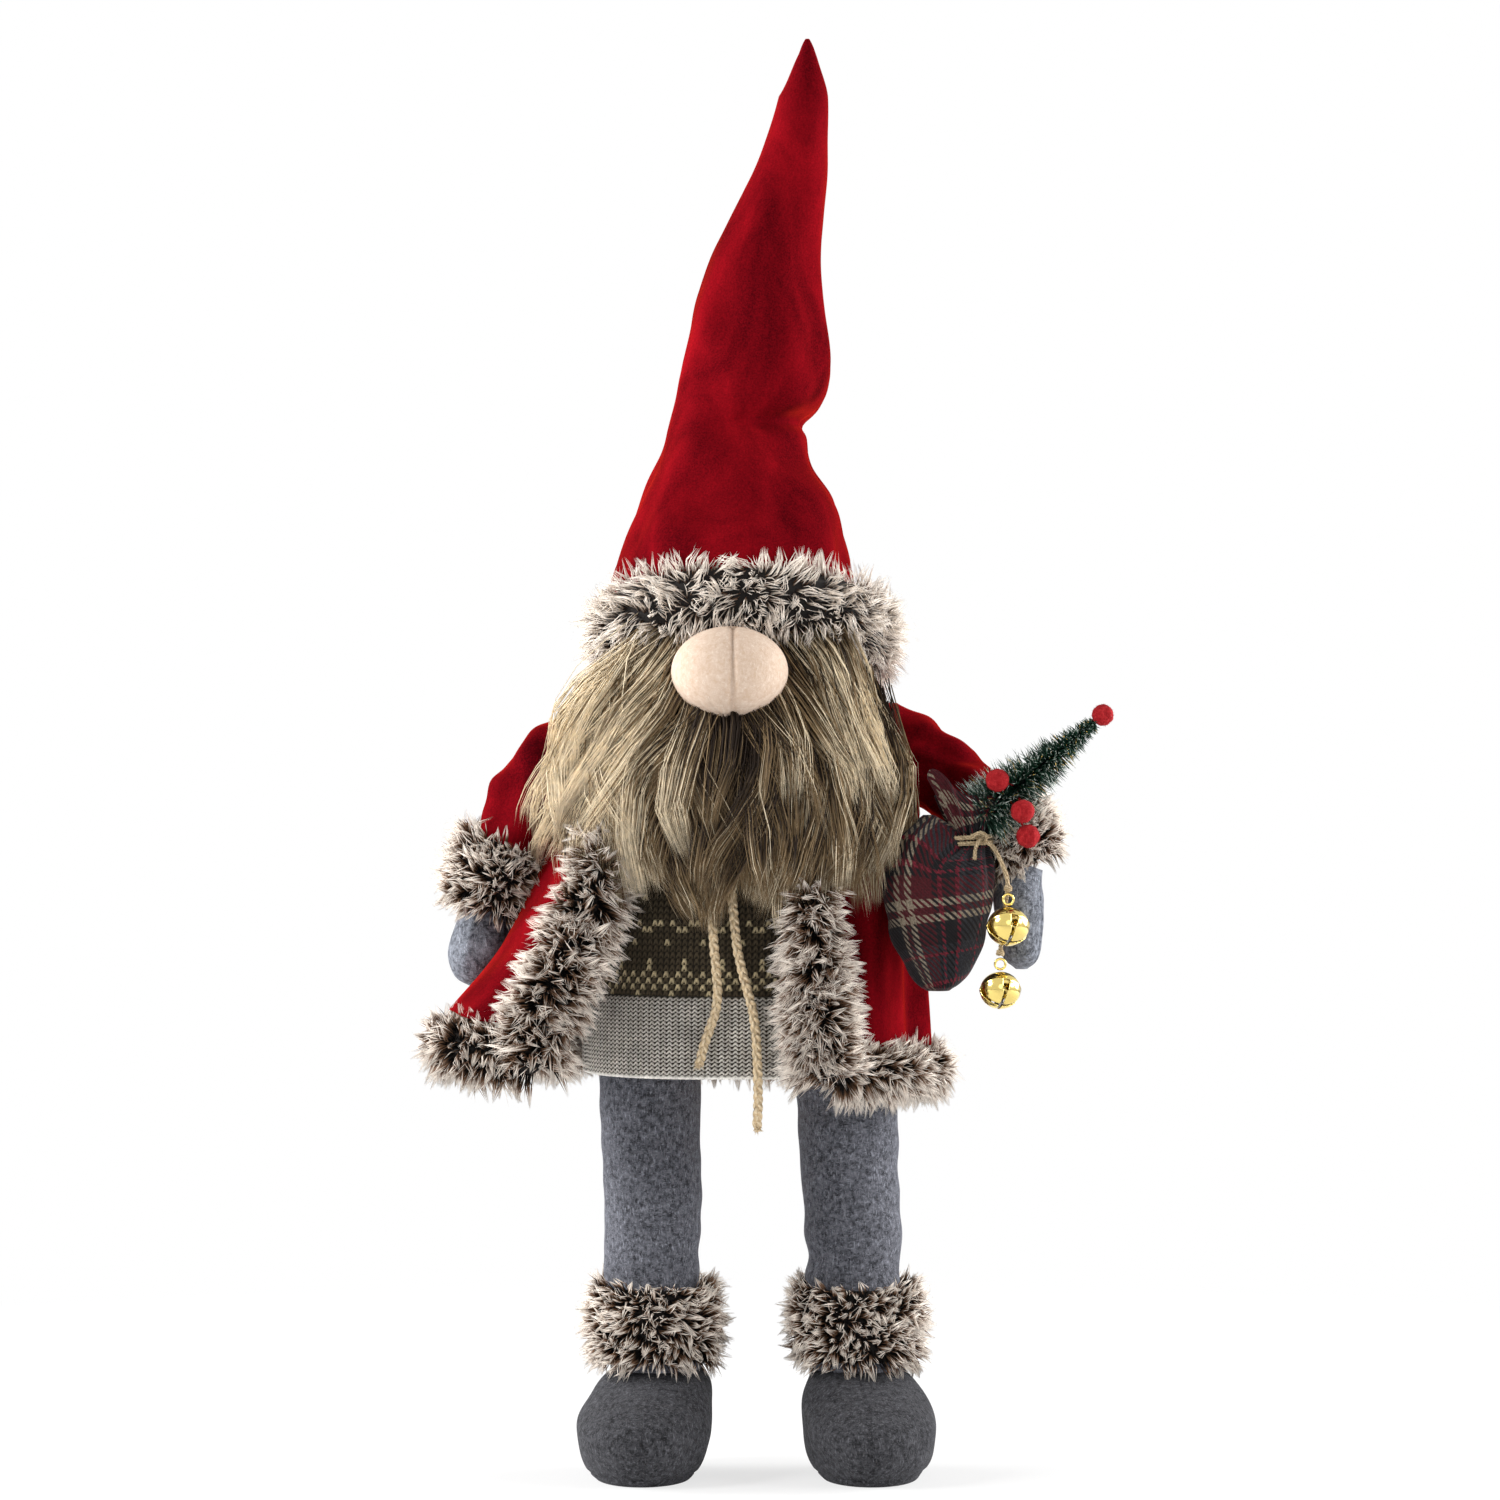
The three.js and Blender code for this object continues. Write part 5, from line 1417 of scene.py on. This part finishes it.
def plaited(build, path, reach, yarn_radius, pitch, plies, columns, braid=False):
    """Plies round a path. A braid's ply swings by (sin w, sin 2w / 2); a twist's turns round
    it by (cos w, sin w). Each ply's map runs round it and along it."""
    sides, ups = path_frames(path)
    along = run_along(path)
    for ply in range(plies):
        w = along / pitch * TURN + ply / plies * TURN
        off = (np.sin(w), 0.62 * np.sin(2 * w)) if braid else (np.cos(w), np.sin(w))
        line = path + sides * (reach * off[0])[:, None] + ups * (reach * off[1])[:, None]
        rings = tube_rings(line, yarn_radius, columns)
        uv = beside(np.arange(columns) / columns, (along / pitch * 2)[:, None]).reshape(-1, 2)
        build.add(closed_tube(rings), uv=np.vstack([uv, uv[:1], uv[-1:]]))


def frayed(build, end, way, draw, count, spread, length, radius):
    """Loose yarns that open out from a cord's end."""
    s = np.linspace(0, 1, 5)[None, :, None]
    aims = unit(way + spread * draw.normal(size=(count, 3)))
    starts = end + radius * unit(draw.normal(size=(count, 3))) * draw.random((count, 1)) - way * 2.0
    lengths = length * draw.uniform(0.5, 1.1, (count, 1, 1))
    build.add_hairs(starts[:, None] + mix(way, aims[:, None], s) * lengths * s, 0.42)


def build_drawstrings():
    """Braided cotton drawstrings, which hang free to their frayed ends."""
    for seed, (side, route) in enumerate(CORD_ROUTES.items(), 160):
        line = through(route, np.linspace(0, 1, 400))
        length = path_length(line)
        path = resample(line, int(length * 1.25))
        build = Build()
        plaited(build, path, 1.45, 1.5, 15.0, 3, 10, braid=True)
        way = unit(path[-1] - path[-6])
        frayed(build, path[-1], way, np.random.default_rng(seed), 46, 0.32, 6.0, 2.2)
        cord = build.piece(
            f"{side}_cord", "cotton_cord", "torso", "cotton_cord", [f"drawstring_{side}"])


# The sack and what is tied to it


SACK_Y, SACK_WIDE, SACK_DEEP, NECK = -71.0, 33.0, 25.5, 11.0
NECK_X = 121.5
# Rows of height, middle and share of the full width
SACK_ROWS = [
    (292, 104.5, 0.24), (297, 104.5, 0.44), (308, 104, 0.66), (333, 103.5, 0.93), (352, 104, 1.0),
    (365, 106.5, 0.9), (373, 115, 0.58), (379, 121.5, NECK / SACK_WIDE),
    (385, 121.5, NECK / SACK_WIDE), (393, 122, 0.44), (405, 122, 0.62),
]
PLAID_TILT = 0.12
TREE_FOOT = np.array([124.0, -73.0, 390.0])
TREE_AXIS = unit(np.array([75.0, -6.0, 63.0]))
TREE_LONG = 98.0
# Middle and radius of each berry
BERRIES = {
    "berry_1": ((137, -91, 415), 7.0), "berry_2": ((151.6, -91, 397), 7.0),
    "berry_3": ((155, -86, 382.5), 7.0), "tip_berry": (TREE_FOOT + TREE_AXIS * TREE_LONG, 6.5),
}


def build_sack():
    """The sack: rows of rings gathered at the neck, with pleats that spread from the tie, a
    sagging belly and a frilled mouth whose inner side shows."""
    at = through(SACK_ROWS, np.linspace(0, 1, 140))
    z, middle_x, share = at[:, 0], at[:, 1], np.maximum(at[:, 2], 0.12)
    angle = circle(150)
    wide = SACK_WIDE * share
    deep = np.maximum(SACK_DEEP * share, np.minimum(NECK, wide))
    middles = beside(middle_x, SACK_Y, z)
    rings = oval_rings(middles, wide, deep, 150)
    near_neck = bump(z, 379, 26)[:, None]
    pleats = np.sin(angle * 13 + 1.4 * np.sin(angle * 3)) + 0.5 * np.sin(angle * 21 + 2)
    frill = smooth((z - 386) / 18)[:, None]
    lumps = 1.2 * ripple_on(rings, 30, 61) * (1 - near_neck)
    waves = 2.1 * frill * np.sin(angle * 7 + 0.6)
    outer = out_from(rings, 1.1 * near_neck * pleats + waves + lumps - 0.7)
    outer[..., 2] += frill * 1.6 * np.sin(angle * 5 + 1.0)
    puff = np.interp(z, [340, 356, 366, 373, 377, 381], [0, 5, 15, 22, 12, 0])[:, None]
    outer[..., 2] += puff * smooth((-np.cos(angle) - 0.05) / 0.8)
    flap = frill * bump(angle, 3.95, 0.55)
    outer += flap[..., None] * np.array([-8.0, -1.0, 15.0])
    inner_rows = np.concatenate([np.arange(4, 108, 17), np.arange(115, 140, 5)])
    inner = out_from(outer[inner_rows], np.array(-1.6))
    surface = closed_tube(np.concatenate([outer, (outer[-1:] + inner[-1:]) / 2, inner[::-1]]))
    run = angle * 31.0
    down = run_along(outer[:, 110])[:, None] + (middle_x - 105)[:, None] * 0.5
    uv = beside(run * math.cos(PLAID_TILT) + down * math.sin(PLAID_TILT),
                down * math.cos(PLAID_TILT) - run * math.sin(PLAID_TILT))
    uv = np.concatenate([uv, uv[-1:], uv[inner_rows][::-1]]).reshape(-1, 2)
    Build().add(surface, uv=np.vstack([uv, uv[:1], uv[-1:]])).piece(
        "sack_cloth", "plaid_weave", "left_arm", "plaid_cloth", ["sack_bag", "sack_filling"])


def twine_fuzz(build, path, draw, count, length=2.6):
    """Short loose fibres that stand off a twine."""
    pick = draw.integers(1, len(path) - 1, count)
    aims = unit(draw.normal(size=(count, 3)) + 1.2 * unit(path[pick] - path[pick - 1]))
    starts = path[pick] + 0.9 * unit(draw.normal(size=(count, 3)))
    s = np.linspace(0, 1, 4)[None, :, None]
    paths = starts[:, None] + aims[:, None] * s * length * draw.uniform(0.5, 1.3, (count, 1, 1))
    build.add_hairs(paths, 0.12)


def build_sack_tie():
    """Jute twine wound twice round the neck, with a knot in front and two short ends."""
    draw = np.random.default_rng(170)
    reach = NECK + GAP + TWINE_DIAMETER / 2
    s = np.linspace(0, 1, 220)
    w = s * 2 * TURN
    pitch = TWINE_DIAMETER + 0.6
    z = 379 - pitch + 2 * pitch * s
    coil = beside(NECK_X + reach * np.cos(w), SACK_Y + reach * np.sin(w), z)
    build = Build()
    plaited(build, coil, 0.72, 0.74, 6.0, 3, 7)
    for end in (
        [(129.5, -83.6, 381.5), (126.5, -86.5, 380), (124.5, -86.8, 375), (124.0, -88.0, 369.5)],
        [(129.0, -83.6, 378.5), (131.0, -86.5, 382), (127.5, -87.8, 384.5), (122.5, -87.5, 382.5)],
    ):
        line = resample(through(end, np.linspace(0, 1, 60)), 30)
        plaited(build, line, 0.6, 0.62, 6.0, 3, 6)
        frayed(build, line[-1], unit(line[-1] - line[-3]), draw, 16, 0.35, 3.2, 0.9)
    twine_fuzz(build, coil, draw, 160)
    build.piece("neck_twine", "jute_twine", "left_arm", "jute", ["sack_tie"])


def build_tree():
    """The bottle-brush tree: a twisted wire core with bristles in a spiral, shorter to the
    tip, frosted at their ends, and a few gold threads among them."""
    draw = np.random.default_rng(180)
    start, end = 8.0, TREE_LONG - 6.5 - GAP
    count = 2300
    s = np.sort(start + (end - start) * draw.random(count) ** 1.5)
    spin = s * 1.9 + draw.choice([0, np.pi], count) + draw.normal(0, 0.45, count)
    side = unit(np.cross([0.0, 1.0, 0.0], TREE_AXIS))
    up = np.cross(TREE_AXIS, side)
    out = side * np.cos(spin)[:, None] + up * np.sin(spin)[:, None]
    share = (s - start) / (end - start)
    reach = mix(24.5, 5.5, share**1.25) * draw.uniform(0.6, 1.12, count)
    lean = draw.uniform(-0.1, 0.35, count)
    roots = TREE_FOOT + TREE_AXIS * s[:, None]
    k = np.linspace(0, 1, 4)[None, :, None]
    way = unit(out + TREE_AXIS * lean[:, None] + 0.22 * draw.normal(size=(count, 3)))
    paths = roots[:, None] + way[:, None] * reach[:, None, None] * k
    paths[..., 2] -= 0.8 * k[..., 0] ** 2
    keep = (paths[:, -1, 2] > 372) | (paths[:, -1, 0] > 150)
    for berry in ("berry_1", "berry_2", "berry_3"):
        keep &= np.linalg.norm(paths - BERRIES[berry][0], axis=2).min(1) > 7.6
    paths = paths[keep]
    build = Build().add_hairs(paths, 0.48, draw.random(len(paths)))
    core = TREE_FOOT + TREE_AXIS * np.linspace(start, end, 160)[:, None]
    plaited(build, core, 0.6, 0.62, 4.0, 2, 6)
    build.piece("tree_brush", "frosted_bristle", "left_arm", "pine_bristle", ["tree_bristles"])
    glints = draw.choice(len(paths), 150, replace=False)
    threads = paths[glints] + unit(draw.normal(size=(150, 1, 3))) * 0.4
    Build().add_hairs(threads, 0.3).piece(
        "tree_gold_threads", "gold_thread", "left_arm", "pine_bristle")


def build_berries():
    """Felt berries: dimpled balls on wire stalks, with a fuzz of short fibres."""
    ball = ball_grid(np.linspace(-np.pi / 2, np.pi / 2, 40)[1:-1], 56)
    for index, (node, (middle, radius)) in enumerate(BERRIES.items()):
        draw = np.random.default_rng(190 + index)
        dents = 1 + 0.035 * ripple_on(ball, 6, 70 + index, (7, 7, 7))
        build = Build().add(closed_tube(middle + ball * (radius - 0.25) * dents[..., None]))
        aims = unit(draw.normal(size=(420, 3)))
        ways = unit(aims + 0.9 * draw.normal(size=(420, 3)))
        s = np.linspace(0, 1, 3)[None, :, None]
        roots = (middle + aims * (radius - 0.4))[:, None]
        build.add_hairs(roots + ways[:, None] * s * draw.uniform(0.6, 1.5, (420, 1, 1)), 0.07)
        if node != "tip_berry":
            foot = TREE_FOOT + TREE_AXIS * ((middle - TREE_FOOT).dot(TREE_AXIS) + 6)
            foot = foot + unit(middle - foot) * 2.6
            stalk = foot + (middle - foot) * np.linspace(0, 0.8, 8)[:, None]
            build.add(closed_tube(tube_rings(stalk, 0.55, 8)))
        build.piece(f"{node}_felt", "berry_felt", "left_arm", "berry_felt", [node])


# The bells, which hang by a loop from a knot
UPPER_BELL, LOWER_BELL = np.array([143.0, -95.0, 330.0]), np.array([138.7, -90.0, 292.8])
BELL_SIZES = {"upper": 25.0, "lower": 24.0}
SLOT_TURN, BELL_LEAN = 0.3, math.radians(38)
LOOP_RADIUS, LOOP_WIRE, LOOP_LIFT = 3.0, 0.75, 3.3
KNOT_LIFT = 2.6


def bell_surface(middle, radius):
    """A jingle bell: a sphere of two halves with a raised rim between them, and a cross of
    round-ended slots below, shown as a shell whose slots are open."""
    lift = np.linspace(np.pi / 2, -np.pi / 2, 64)[1:-1]
    grid = ball_grid(lift, 108)
    rim = 1 + 0.03 * bump(np.sin(lift), 0.02, 0.035)
    dent = 1 - 0.03 * bump(np.sin(lift), 0.97, 0.03)
    outer = grid * (radius * 0.985 * rim * dent)[:, None, None]
    inner = grid * (radius - 0.9)
    cos, sin = math.cos(SLOT_TURN), math.sin(SLOT_TURN)
    across = np.abs(outer @ np.array([[cos, -sin], [sin, cos], [0, 0]])).min(-1)
    ends = np.linalg.norm(outer[..., :2], axis=-1)
    gone = (outer[..., 2] < -radius * 0.3) & (across < 0.8)
    gone |= (outer[..., 2] < 0) & (np.abs(ends - radius * 0.94) < 1.5) & (across < 1.6)
    cos, sin = math.cos(BELL_LEAN), math.sin(BELL_LEAN)
    turned = np.array([[1, 0, 0], [0, cos, sin], [0, -sin, cos]])
    squat = np.array([1.0, 1.0, 0.88])
    return (outer * squat) @ turned.T + middle, (inner * squat) @ turned.T + middle, gone


def slotted(outer, inner, gone):
    """A sphere's two skins without the cells that are gone, walled along each cut edge."""
    rows, columns = outer.shape[:2]
    count = rows * columns
    tops = outer[0].mean(0), inner[0].mean(0)
    points = np.vstack([outer.reshape(-1, 3), inner.reshape(-1, 3), *tops])
    cells = grid_faces(rows, columns)
    kept = cells[~gone.ravel()[cells].any(1)]
    c = np.arange(columns)
    after = (c + 1) % columns
    top_out = beside(after, c, 2 * count)
    top_in = beside(c + count, after + count, 2 * count + 1)
    sides = [beside(kept[:, k], kept[:, (k + 1) % 4]) for k in range(4)]
    edges = np.vstack([*sides, beside(after, c)])
    one_way, other_way = edges @ [4 * count, 1], edges @ [1, 4 * count]
    free = edges[~np.isin(one_way, other_way)]
    walls = beside(free[:, 1], free[:, 0], free[:, 0] + count, free[:, 1] + count)
    faces = [kept, kept[:, ::-1] + count, walls, top_out, top_in]
    used, places = np.unique(np.concatenate([f.ravel() for f in faces]), return_inverse=True)
    parts = np.split(places.ravel(), np.cumsum([f.size for f in faces])[:-1])
    return points[used], [part.reshape(-1, f.shape[1]) for part, f in zip(parts, faces)]


def build_bells():
    """The two jingle bells, each with its hanging loop and the pellet inside."""
    for name, size in BELL_SIZES.items():
        low, high = node_box(f"{name}_bell_shell")
        middle = np.array([(low[0] + high[0]) / 2, (low[1] + high[1]) / 2, low[2] + size / 2])
        build = Build().add(slotted(*bell_surface(middle, size / 2)))
        angle = np.linspace(0, TURN, 49)[:-1]
        away = beside(np.cos(angle), 0.0, np.sin(angle))
        loop = middle + np.array([0, 0, size / 2 + LOOP_LIFT]) + LOOP_RADIUS * away
        section = circle(12)[:, None]
        outwards = unit(loop - loop.mean(0))[:, None]
        wire = outwards * np.cos(section) + np.array([0.0, 1.0, 0.0]) * np.sin(section)
        wire = loop[:, None] + LOOP_WIRE * wire
        build.add((wire.reshape(-1, 3), [grid_faces(48, 12, looped=True)]))
        build.piece(f"{name}_bell_brass", "bell_brass", f"{name}_bell", "bell_brass",
                    [f"{name}_bell_shell"])
        dress_node(f"{name}_bell_pellet", "pellet_steel")


def build_bell_twines():
    """The twines that the bells hang on: free cords, each with a knot at the bell's loop."""
    for seed, (name, (route, knot)) in enumerate(bell_routes().items(), 200):
        line = through(route, np.linspace(0, 1, 200))
        length = path_length(line)
        path = resample(line, int(length * 3))
        build = Build()
        plaited(build, path, 0.66, 0.72, 6.0, 3, 7)
        w = np.linspace(0, TURN, 60)
        ring = knot + beside(1.5 * np.cos(w), 1.5 * np.sin(w) * 0.9, 0.9 * np.sin(2 * w))
        plaited(build, ring, 0.4, 0.8, 5.0, 2, 7)
        twine_fuzz(build, path, np.random.default_rng(seed), 90, 1.8)
        cord = build.piece(
            f"{name}_bell_cord", "jute_twine", f"{name}_bell", "jute", [f"{name}_twine"])


def bell_routes():
    """The twines' routes: from the tie to the upper bell's knot, and on to the lower bell's."""
    rise = LOOP_LIFT + LOOP_RADIUS + LOOP_WIRE + KNOT_LIFT + GAP
    upper_knot = UPPER_BELL + np.array([0, 0, BELL_SIZES["upper"] / 2 + rise])
    lower_knot = LOWER_BELL + np.array([0, 0, BELL_SIZES["lower"] / 2 + rise])
    reach = NECK + GAP + TWINE_DIAMETER / 2
    tie_front = (NECK_X + 7.6, SACK_Y - reach * 0.78 - 2.6, 380.0)
    behind = upper_knot + np.array([0, KNOT_LIFT + 2 * GAP, 0])
    return {
        "upper": ([tie_front, (134, -88, 377), (138.5, -93, 369), (142, -95, 360),
                   tuple(upper_knot)], upper_knot),
        "lower": ([tuple(behind), (142.4, -81.5, 345), (141, -78.2, 334), (140, -78.8, 322),
                   tuple(lower_knot)], lower_knot),
    }


# The pieces inside, which keep their CAD shapes


def dress_inside():
    """Finishes for the CAD solids that stay: stuffing, board, weights, springs and stem."""
    dress_node("torso_core", "loose_stuffing")
    dress_node("base_board", "board_wood")
    dress_node("tree_stem", "spring_steel")
    for side in SIDES:
        dress_node(f"{side}_boot_weight", "cast_iron")
        dress_node(f"{side}_leg_spring", "spring_steel")


# The stage


def stage_material(name):
    """Pale and nearly shadowless, as a lit studio floor looks to the camera."""
    constants = {"Base_Color": (0.86, 0.86, 0.86, 1), "Specular_IOR_Level": 0.1}
    material, tree, shader = bare_material(name, 0.9, **constants)
    glow = add_node(tree, "ShaderNodeEmission", {"Color": (1, 1, 1, 1), "Strength": 1.0}).outputs[0]
    path = add_node(tree, "ShaderNodeLightPath").outputs
    away = add_node(tree, "ShaderNodeVectorMath", {0: object_place(tree)}, operation="LENGTH")
    far = span(tree, away.outputs["Value"], 0.25, 1.1, 0.7, 1.0)
    share = math_node(tree, "MULTIPLY", path["Is Camera Ray"], far)
    both = add_node(tree, "ShaderNodeMixShader", {0: share, 1: shader.outputs[0], 2: glow})
    tree.links.new(both.outputs[0], tree.nodes["Material Output"].inputs["Surface"])
    return material


def build_floor():
    """A square that lies a little below the soles."""
    half, below = 3.2, -0.0002
    mesh = bpy.data.meshes.new("floor")
    corners = [(-half, -half), (half, -half), (half, half), (-half, half)]
    mesh.from_pydata([(x, y, below) for x, y in corners], [], [(0, 1, 2, 3)])
    mesh.materials.append(stage_material("studio_floor"))
    floor = bpy.data.objects.new("floor", mesh)
    bpy.context.scene.collection.objects.link(floor)


def build_world():
    """White to the camera and in reflections, and a soft pale light for the rest."""
    world = bpy.context.scene.world or bpy.data.worlds.new("studio")
    bpy.context.scene.world = world
    world.use_nodes = True
    tree = world.node_tree
    back = tree.nodes["Background"]
    path = add_node(tree, "ShaderNodeLightPath").outputs
    seen = math_node(tree, "MAXIMUM", path["Is Camera Ray"], path["Is Glossy Ray"])
    seen = math_node(tree, "MAXIMUM", seen, path["Is Transmission Ray"])
    tree.links.new(span(tree, seen, 0, 1, 0.25, 1.0), back.inputs["Strength"])
    back.inputs["Color"].default_value = (1, 1, 1, 1)


# Place, height that the lamp is turned to, size in metres and watts
LAMPS = {
    "key": ((-2.3, -1.05, 1.7), 0.45, 1.1, 62), "fill": ((2.3, -0.9, 1.2), 0.4, 1.1, 34),
    "front": ((0.3, -3.2, 1.1), 0.42, 1.6, 9), "left_rim": ((-1.8, 0.5, 0.9), 0.4, 1.3, 44),
    "right_rim": ((1.8, 0.5, 0.9), 0.4, 1.3, 40),
}
PHOTO_PIXELS, MM_A_PIXEL = 1500, 0.59


def build_lamps():
    for name, (place, height, size, watts) in LAMPS.items():
        light = bpy.data.lights.new(name, "AREA")
        light.shape, light.size, light.energy = "DISK", size, watts
        lamp = bpy.data.objects.new(name, light)
        lamp.location = place
        way = np.array([0, 0, height]) - np.array(place)
        lamp.rotation_euler = Vector(way).to_track_quat("-Z", "Y").to_euler()
        bpy.context.scene.collection.objects.link(lamp)


def build_camera():
    """Level and straight in front, as far off as makes the photograph's frame 885 mm wide."""
    look = bpy.context.scene.gnome_looks
    camera = bpy.data.cameras.new("camera")
    seat = bpy.data.objects.new("camera", camera)
    frame_width = PHOTO_PIXELS * MM_A_PIXEL * MM
    distance = look.camera_distance
    camera.sensor_width = 36.0
    camera.lens = camera.sensor_width * distance / frame_width
    camera.clip_end = 50.0
    seat.location = (-6.5 * MM, -40 * MM - distance, 432.5 * MM)
    seat.rotation_euler = (math.pi / 2, 0, 0)
    bpy.context.scene.collection.objects.link(seat)
    bpy.context.scene.camera = seat
    bpy.context.scene.view_settings.view_transform = "Standard"


# The add-on: what a user may change, one operator for each group of pieces, and a panel


def color_property(name, description, color):
    return bpy.props.FloatVectorProperty(
        name=name, description=description, subtype="COLOR", default=srgb(*color)[:3])


class GnomeLooks(bpy.types.PropertyGroup):
    """Sizes and colours of the figure's looks"""

    camera_distance: bpy.props.FloatProperty(
        name="Camera distance", description="From the camera to the figure's front", default=3.0,
        unit="LENGTH")
    velvet_deep: color_property("Velvet, deep", "Velvet seen into its pile", (58, 4, 10))
    velvet_bright: color_property("Velvet, bright", "Velvet brushed to the light", (152, 15, 26))
    fur_root: color_property("Fur root", "The frosted fur near its backing", (14, 8, 5))
    fur_middle: color_property("Fur middle", "The fur at half its length", (122, 90, 66))
    fur_tip: color_property("Fur tip", "The frosted tips of the fur", (255, 244, 232))
    beard_root: color_property("Beard root", "The beard near its backing", (40, 28, 18))
    beard_middle: color_property("Beard middle", "Most of the beard's length", (136, 113, 82))
    beard_tip: color_property("Beard tip", "The pale ends of the beard", (250, 232, 200))


class Step:
    """What the operators share: each one runs its builders in order."""

    builders = ()

    def execute(self, context):
        for build in self.builders:
            build()
        return {"FINISHED"}


class GNOME_OT_stage(Step, bpy.types.Operator):
    """Camera, floor, lamps and world"""

    bl_idname, bl_label = "gnome.stage", "Stage"
    builders = build_camera, build_floor, build_world, build_lamps


class GNOME_OT_cords(Step, bpy.types.Operator):
    """Braided drawstrings with frayed ends"""

    bl_idname, bl_label = "gnome.cords", "Drawstrings"
    builders = (build_drawstrings,)


class GNOME_OT_bells(Step, bpy.types.Operator):
    """Jingle bells and the twines that they hang on"""

    bl_idname, bl_label = "gnome.bells", "Bells"
    builders = build_bells, build_bell_twines


class GNOME_OT_feet(Step, bpy.types.Operator):
    """Felt boots, felt legs and the fur cuffs between them"""

    bl_idname, bl_label = "gnome.feet", "Boots and legs"
    builders = build_boots, build_legs, build_boot_cuffs


class GNOME_OT_knitwear(Step, bpy.types.Operator):
    """The sweater and its hem band"""

    bl_idname, bl_label = "gnome.knitwear", "Knitwear"
    builders = build_sweater, build_hem_band


class GNOME_OT_coat(Step, bpy.types.Operator):
    """The velvet coat and its fur trims"""

    bl_idname, bl_label = "gnome.coat", "Coat"
    builders = build_coat, build_front_trims, build_hem_trims


class GNOME_OT_arms(Step, bpy.types.Operator):
    """Sleeves, fur cuffs and mittens"""

    bl_idname, bl_label = "gnome.arms", "Arms"
    builders = build_sleeves, build_sleeve_cuffs, build_mittens


class GNOME_OT_head(Step, bpy.types.Operator):
    """Hat, fur brim, nose and beard"""

    bl_idname, bl_label = "gnome.head", "Head"
    builders = build_hat, build_brim, build_nose, build_head, build_beard


class GNOME_OT_sack(Step, bpy.types.Operator):
    """The plaid sack with its tie, tree and berries"""

    bl_idname, bl_label = "gnome.sack", "Sack and tree"
    builders = build_sack, build_sack_tie, build_tree, build_berries


class GNOME_OT_inside(Step, bpy.types.Operator):
    """Finishes of the pieces inside"""

    bl_idname, bl_label = "gnome.inside", "Inside"
    builders = (dress_inside,)


STEPS = (
    GNOME_OT_stage, GNOME_OT_cords, GNOME_OT_bells, GNOME_OT_feet, GNOME_OT_knitwear,
    GNOME_OT_coat, GNOME_OT_arms, GNOME_OT_head, GNOME_OT_sack, GNOME_OT_inside,
)


class GNOME_PT_panel(bpy.types.Panel):
    """Lists the figure's colours and its steps"""

    bl_idname = "GNOME_PT_panel"
    bl_label = "Rocking gnome figure"
    bl_space_type = "VIEW_3D"
    bl_region_type = "UI"
    bl_category = "Gnome"

    def draw(self, context):
        look = context.scene.gnome_looks
        for name in GnomeLooks.__annotations__:
            self.layout.prop(look, name)
        for step in STEPS:
            self.layout.operator(step.bl_idname)


CLASSES = (GnomeLooks, *STEPS, GNOME_PT_panel)


def register():
    for kind in CLASSES:
        bpy.utils.register_class(kind)
    bpy.types.Scene.gnome_looks = bpy.props.PointerProperty(type=GnomeLooks)


def unregister():
    del bpy.types.Scene.gnome_looks
    for kind in reversed(CLASSES):
        bpy.utils.unregister_class(kind)


def main():
    register()
    for step in STEPS:
        group, call = step.bl_idname.split(".")
        getattr(getattr(bpy.ops, group), call)()


if __name__ == "__main__":
    main()
